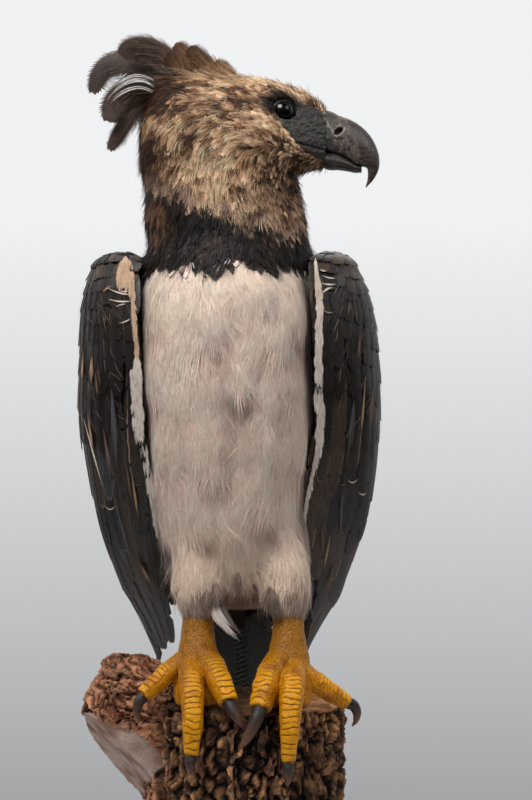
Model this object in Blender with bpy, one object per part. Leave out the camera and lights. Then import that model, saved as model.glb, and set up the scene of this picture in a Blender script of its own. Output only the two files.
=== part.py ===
"""A harpy eagle as a mounted specimen: the bird stands on a cut log, head turned to its left.

Metres, +Z up. The bird faces -Y and its left is +X. The origin is the middle of the log's flat base.
Heights in the tables are above the perch, the level of the log's top on which the feet stand.
"""

import math

import bmesh
import bpy
import numpy as np
from mathutils import Matrix, Vector

# Driving sizes
PERCH = 0.300  # from the log's base to its top
GAP = 0.0003  # clearance between pieces that touch
BODY_X = -0.025  # the body's middle plane
NECK_CUT = 0.478  # where the neck ends and the torso begins
HEAD_CUT = 0.556  # where the head begins
MIRROR = {"left": 1, "right": -1}  # the bird's sides
MOST_TRIANGLES = {"trunk": 1700, "head": 1050, "wing": 2700, "tail": 950, "crest": 900, "log": 900}

# Torso: height, middle in X, front Y, back Y, half width, how much wider it is in front than behind
TORSO = (
    (0.096, -0.011, 0.020, 0.076, 0.030, 0.00),
    (0.103, -0.012, -0.006, 0.098, 0.050, 0.02),
    (0.118, -0.013, -0.028, 0.120, 0.065, 0.05),
    (0.148, -0.015, -0.050, 0.137, 0.075, 0.10),
    (0.187, -0.018, -0.069, 0.142, 0.083, 0.11),
    (0.253, -0.022, -0.089, 0.138, 0.092, 0.10),
    (0.330, -0.024, -0.104, 0.128, 0.098, 0.06),
    (0.407, -0.025, -0.107, 0.113, 0.100, 0.02),
    (0.450, -0.025, -0.097, 0.100, 0.098, 0.00),
    (0.478, -0.024, -0.083, 0.086, 0.093, 0.00),
    (0.500, -0.024, -0.072, 0.074, 0.088, 0.00),
)
# Neck: height, middle in X, half width, half depth
NECK = (
    (0.440, -0.024, 0.090, 0.078),
    (0.478, -0.023, 0.093, 0.076),
    (0.500, -0.024, 0.089, 0.071),
    (0.522, -0.028, 0.090, 0.068),
    (0.548, -0.030, 0.086, 0.065),
    (0.580, -0.032, 0.083, 0.060),
    (0.610, -0.036, 0.074, 0.052),
)
# Head, facing +X: place in X, top, bottom, half width, how much wider it is below than above
HEAD = (
    (-0.122, 0.628, 0.588, 0.010, 0.05),
    (-0.118, 0.648, 0.570, 0.024, 0.05),
    (-0.108, 0.668, 0.552, 0.040, 0.08),
    (-0.086, 0.683, 0.545, 0.053, 0.12),
    (-0.058, 0.687, 0.540, 0.059, 0.16),
    (-0.030, 0.688, 0.543, 0.060, 0.20),
    (-0.004, 0.686, 0.548, 0.057, 0.24),
    (0.020, 0.682, 0.560, 0.050, 0.24),
    (0.040, 0.677, 0.571, 0.042, 0.20),
    (0.056, 0.671, 0.578, 0.034, 0.14),
    (0.070, 0.663, 0.582, 0.027, 0.08),
    (0.080, 0.655, 0.583, 0.022, 0.04),
    (0.0844, 0.650, 0.583, 0.020, 0.02),
)
# Places on the head, with Y outwards from its middle
EYE = (0.034, 0.0262, 0.6435)
EYE_RADIUS = 0.0145
EYE_WAY = (0.30, 1.0, 0.02)  # the eyes look outwards and a little forwards
LID_RADIUS = 0.0128
LID_THICKNESS = 0.0028
LID_REACH = 0.0085  # how far out from the eye's middle its lids stand
BROW = (0.036, 0.0305, 0.6585)
BROW_HALF_SIZES = (0.0250, 0.0085, 0.0062)
BROW_TURNS = (14, -20)  # degrees down towards the bill, and in towards it
NOSTRIL = (0.0985, 0.0150, 0.6245)
NOSTRIL_HALF_SIZES = (0.0052, 0.0030, 0.0024)
NOSTRIL_TURN = -38
# The line of the mouth on the head: X, height, half its width
MOUTH = ((0.0900, 0.6010, 0.0006), (0.0700, 0.6035, 0.0009), (0.0500, 0.6080, 0.0003))
MOUTH_DEPTH = (0.010, 0.060)

# Upper bill: culmen X and height, cutting edge X and height, half width
UPPER_BILL = (
    (0.0847, 0.6485, 0.0847, 0.6020, 0.0170),
    (0.0980, 0.6428, 0.0955, 0.5990, 0.0158),
    (0.1120, 0.6372, 0.1065, 0.5940, 0.0138),
    (0.1245, 0.6283, 0.1150, 0.5880, 0.0118),
    (0.1347, 0.6150, 0.1220, 0.5868, 0.0098),
    (0.1406, 0.5995, 0.1275, 0.5850, 0.0078),
    (0.1408, 0.5850, 0.1285, 0.5770, 0.0058),
    (0.1352, 0.5730, 0.1275, 0.5700, 0.0036),
    (0.1272, 0.5640, 0.1258, 0.5638, 0.0009),
)
# Lower bill: X of the section, upper edge, lower edge, half width
LOWER_BILL = (
    (0.0847, 0.6008, 0.5832, 0.0150),
    (0.0960, 0.5978, 0.5828, 0.0140),
    (0.1060, 0.5928, 0.5815, 0.0122),
    (0.1150, 0.5868, 0.5798, 0.0098),
    (0.1215, 0.5852, 0.5800, 0.0062),
)

# Crest: the beds on the crown, each with X, height, turn in degrees and half sizes
CREST_BEDS = (
    (-0.098, 0.672, 28, (0.030, 0.032, 0.013)),
    (-0.052, 0.6825, 2, (0.044, 0.024, 0.0105)),
)
# Each feather's path in X and height, Y of its root, half width, turn of its face in degrees, and how far
# its tip splays in Y
CREST_STATIONS = (0.0, 0.20, 0.42, 0.62, 0.82, 1.0)
CREST_WIDTHS = (0.35, 0.72, 0.98, 1.0, 0.85, 0.30)
CREST = (
    (((-0.067, 0.673), (-0.080, 0.697), (-0.098, 0.712), (-0.116, 0.7175), (-0.133, 0.716), (-0.144, 0.7055)), -0.012,
     0.0120, 12, -0.006),
    (((-0.088, 0.671), (-0.111, 0.690), (-0.135, 0.703), (-0.155, 0.704), (-0.169, 0.691), (-0.1765, 0.668)), 0.004,
     0.0115, -8, 0.004),
    (((-0.080, 0.672), (-0.106, 0.698), (-0.132, 0.711), (-0.150, 0.707), (-0.163, 0.692)), 0.012, 0.0110, -14, 0.010),
    (((-0.096, 0.666), (-0.118, 0.673), (-0.138, 0.669), (-0.152, 0.655), (-0.157, 0.632)), -0.018, 0.0120, 14, -0.010),
    (((-0.100, 0.662), (-0.115, 0.659), (-0.131, 0.645), (-0.144, 0.626), (-0.156, 0.603)), -0.008, 0.0085, 8, -0.004),
    (((-0.096, 0.664), (-0.128, 0.672), (-0.149, 0.660), (-0.157, 0.640)), 0.018, 0.0115, -16, 0.012),
    (((-0.050, 0.680), (-0.062, 0.699), (-0.074, 0.711), (-0.085, 0.719)), -0.003, 0.0090, 8, -0.002),
    (((-0.040, 0.681), (-0.050, 0.697), (-0.060, 0.707), (-0.068, 0.715)), -0.011, 0.0085, 12, -0.004),
    (((-0.030, 0.682), (-0.040, 0.694), (-0.049, 0.702), (-0.057, 0.708)), 0.006, 0.0080, -8, 0.002),
    (((-0.016, 0.682), (-0.026, 0.690), (-0.034, 0.695), (-0.041, 0.698)), -0.006, 0.0075, 10, -0.002),
    (((-0.062, 0.680), (-0.070, 0.697), (-0.078, 0.707), (-0.088, 0.711)), 0.010, 0.0090, -12, 0.004),
    (((-0.072, 0.676), (-0.079, 0.692), (-0.086, 0.701), (-0.093, 0.705)), -0.015, 0.0085, 14, -0.004),
)

# Wing, with X from the body's middle: height, widest X, X and Y of the front and back edges, Y of the widest
WING = (
    (0.4970, 0.128, 0.112, -0.012, 0.090, 0.040, 0.008),
    (0.4900, 0.140, 0.104, -0.032, 0.070, 0.068, 0.015),
    (0.4675, 0.152, 0.101, -0.052, 0.045, 0.094, 0.020),
    (0.4290, 0.162, 0.100, -0.064, 0.026, 0.114, 0.025),
    (0.3740, 0.167, 0.097, -0.066, 0.016, 0.127, 0.030),
    (0.3080, 0.167, 0.095, -0.052, 0.012, 0.138, 0.038),
    (0.2420, 0.161, 0.093, -0.030, 0.012, 0.148, 0.052),
    (0.1705, 0.147, 0.088, 0.010, 0.014, 0.158, 0.074),
    (0.1210, 0.127, 0.084, 0.055, 0.020, 0.172, 0.104),
    (0.0715, 0.100, 0.076, 0.110, 0.032, 0.190, 0.145),
    (0.0270, 0.082, 0.070, 0.160, 0.048, 0.205, 0.180),
)
# Depth of the wing under its outer surface: height, depth
WING_DEPTH = (
    (0.027, 0.003),
    (0.100, 0.006),
    (0.200, 0.009),
    (0.270, 0.016),
    (0.330, 0.028),
    (0.430, 0.034),
    (0.470, 0.026),
    (0.490, 0.012),
    (0.497, 0.004),
)
WING_BOXINESS = 0.75
# How far each wing's surface stands further out than the table says: height, shift, shift at the front edge
WING_SHIFT = {
    "left": (
        (0.027, 0.005, 0.003),
        (0.060, 0.009, 0.005),
        (0.100, 0.010, 0.004),
        (0.125, 0.005, 0.000),
        (0.150, 0.003, -0.004),
        (0.210, 0.003, -0.004),
        (0.270, 0.003, 0.001),
        (0.330, 0.002, 0.002),
        (0.400, 0.000, 0.000),
        (0.450, -0.002, -0.001),
        (0.470, -0.005, -0.002),
        (0.497, -0.004, -0.002),
    ),
    "right": (
        (0.027, 0.006, -0.006),
        (0.060, 0.006, -0.007),
        (0.100, 0.003, -0.007),
        (0.140, -0.003, -0.005),
        (0.200, -0.0045, -0.003),
        (0.245, -0.003, -0.002),
        (0.300, 0.000, 0.000),
        (0.400, 0.000, 0.000),
        (0.435, 0.003, 0.001),
        (0.470, 0.003, 0.001),
        (0.497, 0.002, 0.001),
    ),
}
POD_END = 0.110
WING_SEED = {"left": 4, "right": 9}

# Feathers: stations along a vane, its width at each, and its thickness
VANE_STATIONS = (0.0, 0.14, 0.50, 0.84, 1.0)
VANE_WIDTHS = (0.55, 0.80, 1.0, 0.90, 0.32)
VANE_THICKNESS = 0.0010
VANE_STEP = 0.0023  # how far the face of a feather lies over the face of the next one
TIER_DEPTH = 0.0080  # the vanes rise from this depth at their roots to the wing's surface at their tips
ROOT_SINK = 0.0035  # how much deeper the root itself lies
# Tiers of the wing, lowest first: feathers, first and last s, heights of the roots in front and behind,
# heights of the tips in front and behind, half width, how far the middle tips hang below that line
WING_ROWS = (
    (7, 0.09, 0.66, 0.235, 0.235, 0.080, 0.040, 0.0150, 0.022),
    (7, 0.16, 0.92, 0.320, 0.290, 0.176, 0.080, 0.0210, 0.006),
    (7, 0.10, 0.92, 0.385, 0.360, 0.262, 0.190, 0.0250, 0.000),
    (7, 0.09, 0.92, 0.440, 0.420, 0.330, 0.280, 0.0250, 0.000),
    (7, 0.09, 0.90, 0.482, 0.466, 0.396, 0.360, 0.0245, 0.000),
)

# Legs: the feet's middles, and the tarsus: height, half width, half depth, Y
FOOT_X = {"left": 0.0405, "right": -0.0570}
TARSUS = (
    (0.006, 0.0230, 0.0220, -0.061),
    (0.020, 0.0250, 0.0225, -0.061),
    (0.038, 0.0240, 0.0210, -0.060),
    (0.056, 0.0215, 0.0190, -0.056),
    (0.074, 0.0180, 0.0170, -0.049),
    (0.092, 0.0160, 0.0160, -0.042),
    (0.124, 0.0170, 0.0175, -0.030),
)
# Thigh: height, half width, half depth, Y, X outwards from the foot
THIGH = (
    (0.098, 0.0215, 0.0215, -0.039, 0.000),
    (0.105, 0.0265, 0.0290, -0.036, -0.001),
    (0.122, 0.0300, 0.0380, -0.027, -0.003),
    (0.150, 0.0340, 0.0460, -0.012, -0.005),
    (0.185, 0.0340, 0.0480, 0.003, -0.008),
    (0.215, 0.0280, 0.0400, 0.010, -0.010),
)

SCUTES = {"middle": 9, "inner": 6, "outer": 5, "hind": 4}
TARSUS_SCUTES = 7
SCUTE_RISE = 0.10

# Tail
TAIL_ROOT = (-0.012, 0.100, 0.172)
TAIL_LENGTH = 0.405
TAIL_LEAN = math.radians(19)
TAIL_SPREAD = 0.034  # how far the outermost feather's end lies from the middle
TAIL_ROOT_SPREAD = 0.014
TAIL_FEATHER_HALF = 0.026
TAIL_STEP = 0.0015  # each feather lies this much under the next one in
TAIL_STATIONS = (0.20, 0.45, 0.75, 0.94, 1.0)
TAIL_WIDTHS = (0.55, 0.85, 1.0, 0.92, 0.40)
# Rump and coverts: how far along the tail, half width, half depth, shift to the upper side
TAIL_BASE = (
    (-0.075, 0.026, 0.030, -0.004),
    (-0.030, 0.042, 0.034, -0.004),
    (0.010, 0.044, 0.026, -0.004),
    (0.060, 0.038, 0.016, -0.004),
    (0.105, 0.034, 0.0085, -0.004),
)

# Log
LOG_RADIUS = 0.107
LIMB_CUT_POINT = (-0.185, 0.050, -0.050)
LIMB_CUT_NORMAL = (-0.68, -0.36, -0.64)
# Limb, going out from the trunk: X, top, bottom, middle in Y, half depth
LIMB = (
    (-0.020, -0.012, -0.170, 0.020, 0.056),
    (-0.055, 0.006, -0.165, 0.020, 0.064),
    (-0.085, 0.034, -0.155, 0.018, 0.068),
    (-0.112, 0.046, -0.142, 0.016, 0.070),
    (-0.140, 0.050, -0.122, 0.014, 0.068),
    (-0.158, 0.045, -0.100, 0.012, 0.062),
    (-0.172, 0.026, -0.075, 0.010, 0.050),
    (-0.184, 0.002, -0.045, 0.008, 0.032),
)


def smooth(table, at):
    """Reads a table at other values of its first column, by a Catmull-Rom curve."""
    table = np.asarray(table, float)
    table = table[np.argsort(table[:, 0])]
    keys, rows = table[:, 0], table[:, 1:]
    slopes = np.gradient(rows, keys, axis=0)
    at = np.clip(np.asarray(at, float), keys[0], keys[-1])
    i = np.clip(np.searchsorted(keys, at, side="right") - 1, 0, len(keys) - 2)
    step = (keys[i + 1] - keys[i])[..., None]
    u = (at - keys[i])[..., None] / step
    return (
        rows[i] * (1 + 2 * u) * (1 - u) ** 2
        + slopes[i] * step * u * (1 - u) ** 2
        + rows[i + 1] * u * u * (3 - 2 * u)
        + slopes[i + 1] * step * u * u * (u - 1)
    )


def clear_scene():
    for obj in list(bpy.data.objects):
        bpy.data.objects.remove(obj)


def material(name, colour, roughness, metallic=0.0):
    made = bpy.data.materials.get(name) or bpy.data.materials.new(name)
    made.use_nodes = True
    shader = made.node_tree.nodes["Principled BSDF"]
    shader.inputs["Base Color"].default_value = (*colour, 1)
    shader.inputs["Roughness"].default_value = roughness
    shader.inputs["Metallic"].default_value = metallic
    return made


def mesh_object(name, points, faces, collection):
    """A closed mesh of triangles with its faces turned outwards."""
    mesh = bpy.data.meshes.new(name)
    mesh.from_pydata([tuple(map(float, p)) for p in points], [], [tuple(map(int, f)) for f in faces])
    made = bmesh.new()
    made.from_mesh(mesh)
    bmesh.ops.triangulate(made, faces=made.faces)
    bmesh.ops.recalc_face_normals(made, faces=made.faces)
    made.to_mesh(mesh)
    made.free()
    obj = bpy.data.objects.new(name, mesh)
    collection.objects.link(obj)
    return obj


def loft(name, rings, collection):
    """A closed body through rings of points, each ring with the same number of points."""
    rings = np.asarray(rings, float)
    count, around = rings.shape[:2]
    faces = []
    for i in range(count - 1):
        for j in range(around):
            k = (j + 1) % around
            faces.append((i * around + j, i * around + k, (i + 1) * around + k, (i + 1) * around + j))
    faces.append(range(around))
    faces.append(range((count - 1) * around, count * around))
    return mesh_object(name, rings.reshape(-1, 3), faces, collection)


def vane(name, left, middle, right, ways, thickness, collection):
    """A thin closed feather: three lines of points along it, and the way out of its face at each point."""
    half = np.asarray(ways, float) * thickness / 2
    left, middle, right = (np.asarray(line, float) for line in (left, middle, right))
    sheet = (left + half, middle + half, right + half, right - half, middle - half, left - half)
    return loft(name, np.stack(sheet, 1), collection)


def ellipse(around, power=1.0):
    """Cosines and sines round a ring. A power under 1 makes it boxier."""
    turn = np.linspace(0, 2 * math.pi, around, endpoint=False)
    cosine, sine = np.cos(turn), np.sin(turn)
    return np.sign(cosine) * abs(cosine) ** power, np.sign(sine) * abs(sine) ** power


def level_ring(middle, half_width, half_depth, around, power=1.0):
    cosine, sine = ellipse(around, power)
    x, y, z = middle
    return np.stack([x + half_width * cosine, y + half_depth * sine, np.full(around, z)], 1)


def unite(obj, others):
    """One Boolean union of obj with the others, which are then removed."""
    helpers = bpy.data.collections.new("union_of_" + obj.name)
    for other in others:
        helpers.objects.link(other)
    modifier = obj.modifiers.new("union", "BOOLEAN")
    modifier.operation = "UNION"
    modifier.operand_type = "COLLECTION"
    modifier.solver = "MANIFOLD"
    modifier.collection = helpers
    apply_modifiers(obj)
    for other in list(others):
        bpy.data.objects.remove(other)
    bpy.data.collections.remove(helpers)
    return obj


def cut(obj, cutters):
    """Takes the cutters' shapes out of obj and removes the cutters."""
    for cutter in cutters:
        modifier = obj.modifiers.new("cut", "BOOLEAN")
        modifier.operation = "DIFFERENCE"
        modifier.solver = "MANIFOLD"
        modifier.object = cutter
    apply_modifiers(obj)
    for cutter in list(cutters):
        bpy.data.objects.remove(cutter)
    return obj


def apply_modifiers(obj):
    bpy.context.view_layer.update()
    graph = bpy.context.evaluated_depsgraph_get()
    obj.data = bpy.data.meshes.new_from_object(obj.evaluated_get(graph))
    obj.modifiers.clear()
    keep_largest(obj)


def keep_largest(obj):
    """Leaves only the largest closed surface of the mesh."""
    made = bmesh.new()
    made.from_mesh(obj.data)
    seen, groups = set(), []
    for start in made.faces:
        if start in seen:
            continue
        group, stack = [], [start]
        seen.add(start)
        while stack:
            face = stack.pop()
            group.append(face)
            for edge in face.edges:
                for other in edge.link_faces:
                    if other not in seen:
                        seen.add(other)
                        stack.append(other)
        groups.append(group)
    groups.sort(key=lambda faces: -sum(f.calc_area() for f in faces))
    for group in groups[1:]:
        bmesh.ops.delete(made, geom=group, context="FACES")
    bmesh.ops.triangulate(made, faces=made.faces)
    made.to_mesh(obj.data)
    made.free()


def thin_out(obj, most):
    """Merges the slivers that unions leave, down to at most that many triangles."""
    count = len(obj.data.polygons)
    if count > most:
        modifier = obj.modifiers.new("thin", "DECIMATE")
        modifier.ratio = most / count
        apply_modifiers(obj)


def slice_off(obj, point, normal):
    """Cuts obj by a plane, drops the side to which the normal points, and closes the cut."""
    made = bmesh.new()
    made.from_mesh(obj.data)
    geometry = made.verts[:] + made.edges[:] + made.faces[:]
    done = bmesh.ops.bisect_plane(made, geom=geometry, plane_co=point, plane_no=normal, clear_outer=True)
    rim = [e for e in done["geom_cut"] if isinstance(e, bmesh.types.BMEdge)]
    bmesh.ops.edgeloop_fill(made, edges=rim)
    bmesh.ops.triangulate(made, faces=made.faces)
    bmesh.ops.recalc_face_normals(made, faces=made.faces)
    made.to_mesh(obj.data)
    made.free()
    return obj


def copy_of(obj, name, collection):
    made = bpy.data.objects.new(name, obj.data.copy())
    collection.objects.link(made)
    return made


def seat(name, parts, grow=GAP * 1.15):
    """A cutter that is a little larger all round than the finished piece of that name."""
    cutter = copy_of(bpy.data.objects[name], "seat_of_" + name, parts)
    made = bmesh.new()
    made.from_mesh(cutter.data)
    made.normal_update()
    shift = [(v, v.normal.copy()) for v in made.verts]
    for vertex, normal in shift:
        vertex.co += normal * grow
    made.to_mesh(cutter.data)
    made.free()
    return cutter


def finish(obj, name, finish_material, smooth_angle=math.radians(40)):
    obj.name = name
    obj.data.name = name
    obj.data.materials.clear()
    obj.data.materials.append(finish_material)
    obj.data.shade_smooth()
    obj.data.set_sharp_from_angle(angle=smooth_angle)
    return obj


# Torso, neck and head
def torso_body(parts):
    heights = np.concatenate([[0.096, 0.099, 0.106], np.linspace(0.118, 0.478, 12), [0.500]])
    cosine, sine = ellipse(26)
    rings = []
    for z, (x, front, back, half_width, fuller) in zip(heights, smooth(TORSO, heights)):
        ring_x = x + half_width * cosine * (1 - fuller * sine)
        ring_y = (front + back) / 2 + (back - front) / 2 * sine
        rings.append(np.stack([ring_x, ring_y, np.full(26, PERCH + z)], 1))
    return loft("torso_body", rings, parts)


def neck_body(parts):
    heights = np.linspace(0.440, 0.610, 9)
    rings = [
        level_ring((x, 0.0, PERCH + z), half_width, half_depth, 24)
        for z, (x, half_width, half_depth) in zip(heights, smooth(NECK, heights))
    ]
    return loft("neck_body", rings, parts)


def head_body(parts):
    places = np.concatenate([[-0.122, -0.119, -0.113], np.linspace(-0.102, 0.076, 15), [0.0844]])
    cosine, sine = ellipse(20, 0.92)
    rings = []
    for x, (top, bottom, half_width, fuller) in zip(places, smooth(HEAD, places)):
        middle, half_height = (top + bottom) / 2, (top - bottom) / 2
        y = half_width * cosine * (1 - fuller * sine)
        z = PERCH + middle + half_height * sine
        rings.append(np.stack([np.full(20, x), y, z], 1))
    return loft("head_body", rings, parts)


def ball(name, middle, half_sizes, collection, turn=None, segments=16, rings=9):
    made = bmesh.new()
    bmesh.ops.create_uvsphere(made, u_segments=segments, v_segments=rings, radius=1.0)
    made.transform(Matrix.Translation(middle) @ (turn or Matrix()) @ Matrix.Diagonal((*half_sizes, 1)))
    bmesh.ops.triangulate(made, faces=made.faces)
    mesh = bpy.data.meshes.new(name)
    made.to_mesh(mesh)
    made.free()
    obj = bpy.data.objects.new(name, mesh)
    collection.objects.link(obj)
    return obj


def torus(name, middle, axis, radius, thickness, collection, around=16, section=5):
    """A ring round the axis, used for an eyelid's rim."""
    turn = Vector((0, 0, 1)).rotation_difference(Vector(axis)).to_matrix()
    points, faces = [], []
    for i in range(around):
        angle = 2 * math.pi * i / around
        for j in range(section):
            tilt = 2 * math.pi * j / section
            reach = radius + thickness * math.cos(tilt)
            local = Vector((reach * math.cos(angle), reach * math.sin(angle), thickness * math.sin(tilt)))
            points.append(Vector(middle) + turn @ local)
            a, b = (i + 1) % around, (j + 1) % section
            faces.append((i * section + j, a * section + j, a * section + b, i * section + b))
    return mesh_object(name, points, faces, collection)


def eye_middle(side):
    return on_head(EYE, side)


def eye_axis(side):
    """The way an eye looks."""
    x, y, z = EYE_WAY
    return Vector((x, y * MIRROR[side], z)).normalized()


def on_head(place, side):
    x, y, z = place
    return Vector((x, y * MIRROR[side], PERCH + z))


def brow(side, parts):
    """The ridge of bone over an eye, which gives the stern look."""
    down, inwards = (math.radians(turn) for turn in BROW_TURNS)
    turn = Matrix.Rotation(down, 4, "Y") @ Matrix.Rotation(inwards * MIRROR[side], 4, "Z")
    return ball("brow", on_head(BROW, side), BROW_HALF_SIZES, parts, turn=turn, segments=12, rings=6)


def mouth_groove(side, parts):
    """The corner of the mouth, which runs back from the bill under the eye."""
    sections = []
    for x, z, half in MOUTH:
        inner, outer = MOUTH_DEPTH
        corners = ((inner, -half), (outer, -half), (outer, half), (inner, half))
        sections.append([(x, y * MIRROR[side], PERCH + z + up) for y, up in corners])
    return loft("mouth", sections, parts)


def make_head_neck_torso(parts, plumage):
    trunk = unite(neck_body(parts), [torso_body(parts), head_body(parts)])
    thin_out(trunk, MOST_TRIANGLES["trunk"])
    torso = slice_off(copy_of(trunk, "torso", parts), (0, 0, PERCH + NECK_CUT - GAP / 2), (0, 0, 1))
    neck = slice_off(copy_of(trunk, "neck", parts), (0, 0, PERCH + HEAD_CUT - GAP / 2), (0, 0, 1))
    slice_off(neck, (0, 0, PERCH + NECK_CUT + GAP / 2), (0, 0, -1))
    head = slice_off(trunk, (0, 0, PERCH + HEAD_CUT + GAP / 2), (0, 0, -1))
    additions = []
    for side in MIRROR:
        lid_place = eye_middle(side) + eye_axis(side) * LID_REACH
        additions.append(torus("lid", lid_place, eye_axis(side), LID_RADIUS, LID_THICKNESS, parts))
        additions.append(brow(side, parts))
    unite(head, additions)
    thin_out(head, MOST_TRIANGLES["head"])
    cutters = []
    for side in MIRROR:
        cutters.append(ball("socket", eye_middle(side), [EYE_RADIUS + GAP] * 3, parts))
        cutters.append(mouth_groove(side, parts))
    cut(head, cutters)
    finish(torso, "torso", plumage["white"])
    finish(neck, "neck", plumage["black"])
    finish(head, "head", plumage["brown"])
    for side in MIRROR:
        finish(ball("eye", eye_middle(side), [EYE_RADIUS] * 3, parts), "eye_" + side, plumage["eye"])


# Bill
def make_bill(parts, horn):
    cosine, sine = ellipse(12)
    steps = np.linspace(0, len(UPPER_BILL) - 1, 15)
    numbered = [(i, *row) for i, row in enumerate(UPPER_BILL)]
    rings = []
    for culmen_x, culmen_z, edge_x, edge_z, half_width in smooth(numbered, steps):
        top = np.array([culmen_x, 0, PERCH + culmen_z])
        low = np.array([edge_x, 0, PERCH + edge_z])
        across = half_width * cosine * (1 - 0.28 * sine)
        rings.append((top + low) / 2 + np.outer(sine, (top - low) / 2) + np.outer(across, (0, 1, 0)))
    upper = loft("bill_upper", rings, parts)
    nostrils = []
    for side in MIRROR:
        turn = Matrix.Rotation(math.radians(NOSTRIL_TURN), 4, "Y")
        place = on_head(NOSTRIL, side)
        nostrils.append(ball("nostril", place, NOSTRIL_HALF_SIZES, parts, turn=turn, segments=10, rings=6))
    cut(upper, nostrils)
    finish(upper, "bill_upper", horn)
    places = np.linspace(LOWER_BILL[0][0], LOWER_BILL[-1][0], 7)
    rings = []
    for x, (top, low, half_width) in zip(places, smooth(LOWER_BILL, places)):
        z = PERCH + (top + low) / 2 + (top - low) / 2 * sine
        across = half_width * cosine * (1 + 0.25 * sine)
        rings.append(np.stack([np.full(12, x), across, z], 1))
    finish(loft("bill_lower", rings, parts), "bill_lower", horn)


# Wings
def wing_outline(s, z):
    """X from the body's middle and Y of the wing's outer surface, s running from the front edge back."""
    widest, front_x, front_y, back_x, back_y, middle_y = np.moveaxis(smooth(WING, z), -1, 0)
    first = np.arcsin((front_x / widest) ** (1 / WING_BOXINESS))
    last = math.pi - np.arcsin((back_x / widest) ** (1 / WING_BOXINESS))
    angle = first + s * (last - first)
    x = widest * np.sin(angle) ** WING_BOXINESS
    before = (middle_y - front_y) / np.cos(first)
    behind = (middle_y - back_y) / np.cos(last)
    y = middle_y - np.where(angle < math.pi / 2, before, behind) * np.cos(angle)
    return x, y


def wing_point(s, z, lift, side):
    """A point at that lift over the wing's outer surface."""
    s, z, lift = np.broadcast_arrays(*(np.asarray(a, float) for a in (s, z, lift)))
    small = 1e-3

    def place(s, z):
        x, y = wing_outline(s, z)
        return np.stack([x, y, z], -1)

    here = place(s, z)
    along = place(np.clip(s + small, 0, 1), z) - place(np.clip(s - small, 0, 1), z)
    down = place(s, z + small) - place(s, z - small)
    normal = np.cross(along, down)
    normal /= np.linalg.norm(normal, axis=-1, keepdims=True)
    point = here + normal * lift[..., None]
    outer, front = np.moveaxis(smooth(WING_SHIFT[side], z), -1, 0)
    share = np.clip(s / 0.45, 0, 1)
    point[..., 0] += front + (outer - front) * share * share * (3 - 2 * share)
    point[..., 0] = BODY_X + MIRROR[side] * point[..., 0]
    point[..., 2] += PERCH
    return point


def wing_pod(side, lowest, parts, levels=12, across=12):
    """The wing's flesh and bone as one closed crescent that follows the body's side."""
    heights = np.concatenate([np.linspace(lowest, 0.462, levels), [0.480, 0.490, 0.4955]])
    s = np.linspace(0, 1, across)
    rings = []
    for z in heights:
        depth = float(smooth(WING_DEPTH, z)[0])
        taper = 0.30 + 0.70 * np.sin(math.pi * (0.06 + 0.88 * s)) ** 0.6
        outer = wing_point(s, z, -TIER_DEPTH, side)
        inner = wing_point(s, z, -TIER_DEPTH - depth * taper, side)
        outer[:, 2] = PERCH + z
        inner[:, 2] = outer[:, 2]
        rings.append(np.concatenate([outer, inner[::-1]]))
    return loft("wing_pod", rings, parts)


def wing_vane(side, root, tip, half_width, spacing, parts):
    """One feather on the wing's outer surface. Its root and tip are places (s, z) there."""
    t = np.array(VANE_STATIONS)
    s = root[0] + (tip[0] - root[0]) * t
    z = root[1] + (tip[1] - root[1]) * t
    low, high = np.clip(s - 0.02, 0, 1), np.clip(s + 0.02, 0, 1)
    span = np.subtract(wing_outline(high, z), wing_outline(low, z))
    reach = half_width * np.array(VANE_WIDTHS) * (high - low) / np.hypot(*span)
    lift = -TIER_DEPTH * (1 - t) - ROOT_SINK * (t == 0)
    lean = VANE_STEP * reach / spacing
    front = wing_point(np.clip(s - reach, 0, 1), z, lift + lean, side)
    middle = wing_point(s, z, lift + 0.0002, side)
    back = wing_point(np.clip(s + reach, 0, 1), z, lift - lean, side)
    ways = wing_point(s, z, 1.0, side) - wing_point(s, z, 0.0, side)
    return vane("feather", front, middle, back, ways, VANE_THICKNESS, parts)


def wing_row(side, row, random, parts):
    """One tier of overlapping feathers, from the wing's front edge to its back edge."""
    count, first, last, root_front, root_back, tip_front, tip_back, half_width, hang = row
    spacing = (last - first) / (count - 1)
    made = []
    for f in np.linspace(0, 1, count):
        s = first + (last - first) * f
        root_z = root_front + (root_back - root_front) * f
        tip_z = tip_front + (tip_back - tip_front) * f - hang * math.sin(math.pi * f)
        tip = (s + random.uniform(-0.004, 0.004), tip_z + random.uniform(-0.003, 0.003))
        made.append(wing_vane(side, (s, root_z), tip, half_width, spacing, parts))
    return made


def make_wing(side, parts, plumage):
    random = np.random.default_rng(WING_SEED[side])
    wing = wing_pod(side, POD_END, parts)
    feathers = []
    for row in WING_ROWS:
        feathers += wing_row(side, row, random, parts)
    unite(wing, feathers)
    thin_out(wing, MOST_TRIANGLES["wing"])
    cut(wing, [seat(name, parts) for name in ("torso", "neck", "thigh_" + side, "tail")])
    finish(wing, "wing_" + side, plumage["black"])


# Tail
def tail_frame():
    """The tail's root, the way it points, and its upper side."""
    along = Vector((0, math.sin(TAIL_LEAN), -math.cos(TAIL_LEAN)))
    upper = Vector((0, math.cos(TAIL_LEAN), math.sin(TAIL_LEAN)))
    x, y, z = TAIL_ROOT
    return Vector((x, y, PERCH + z)), along, upper


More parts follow.
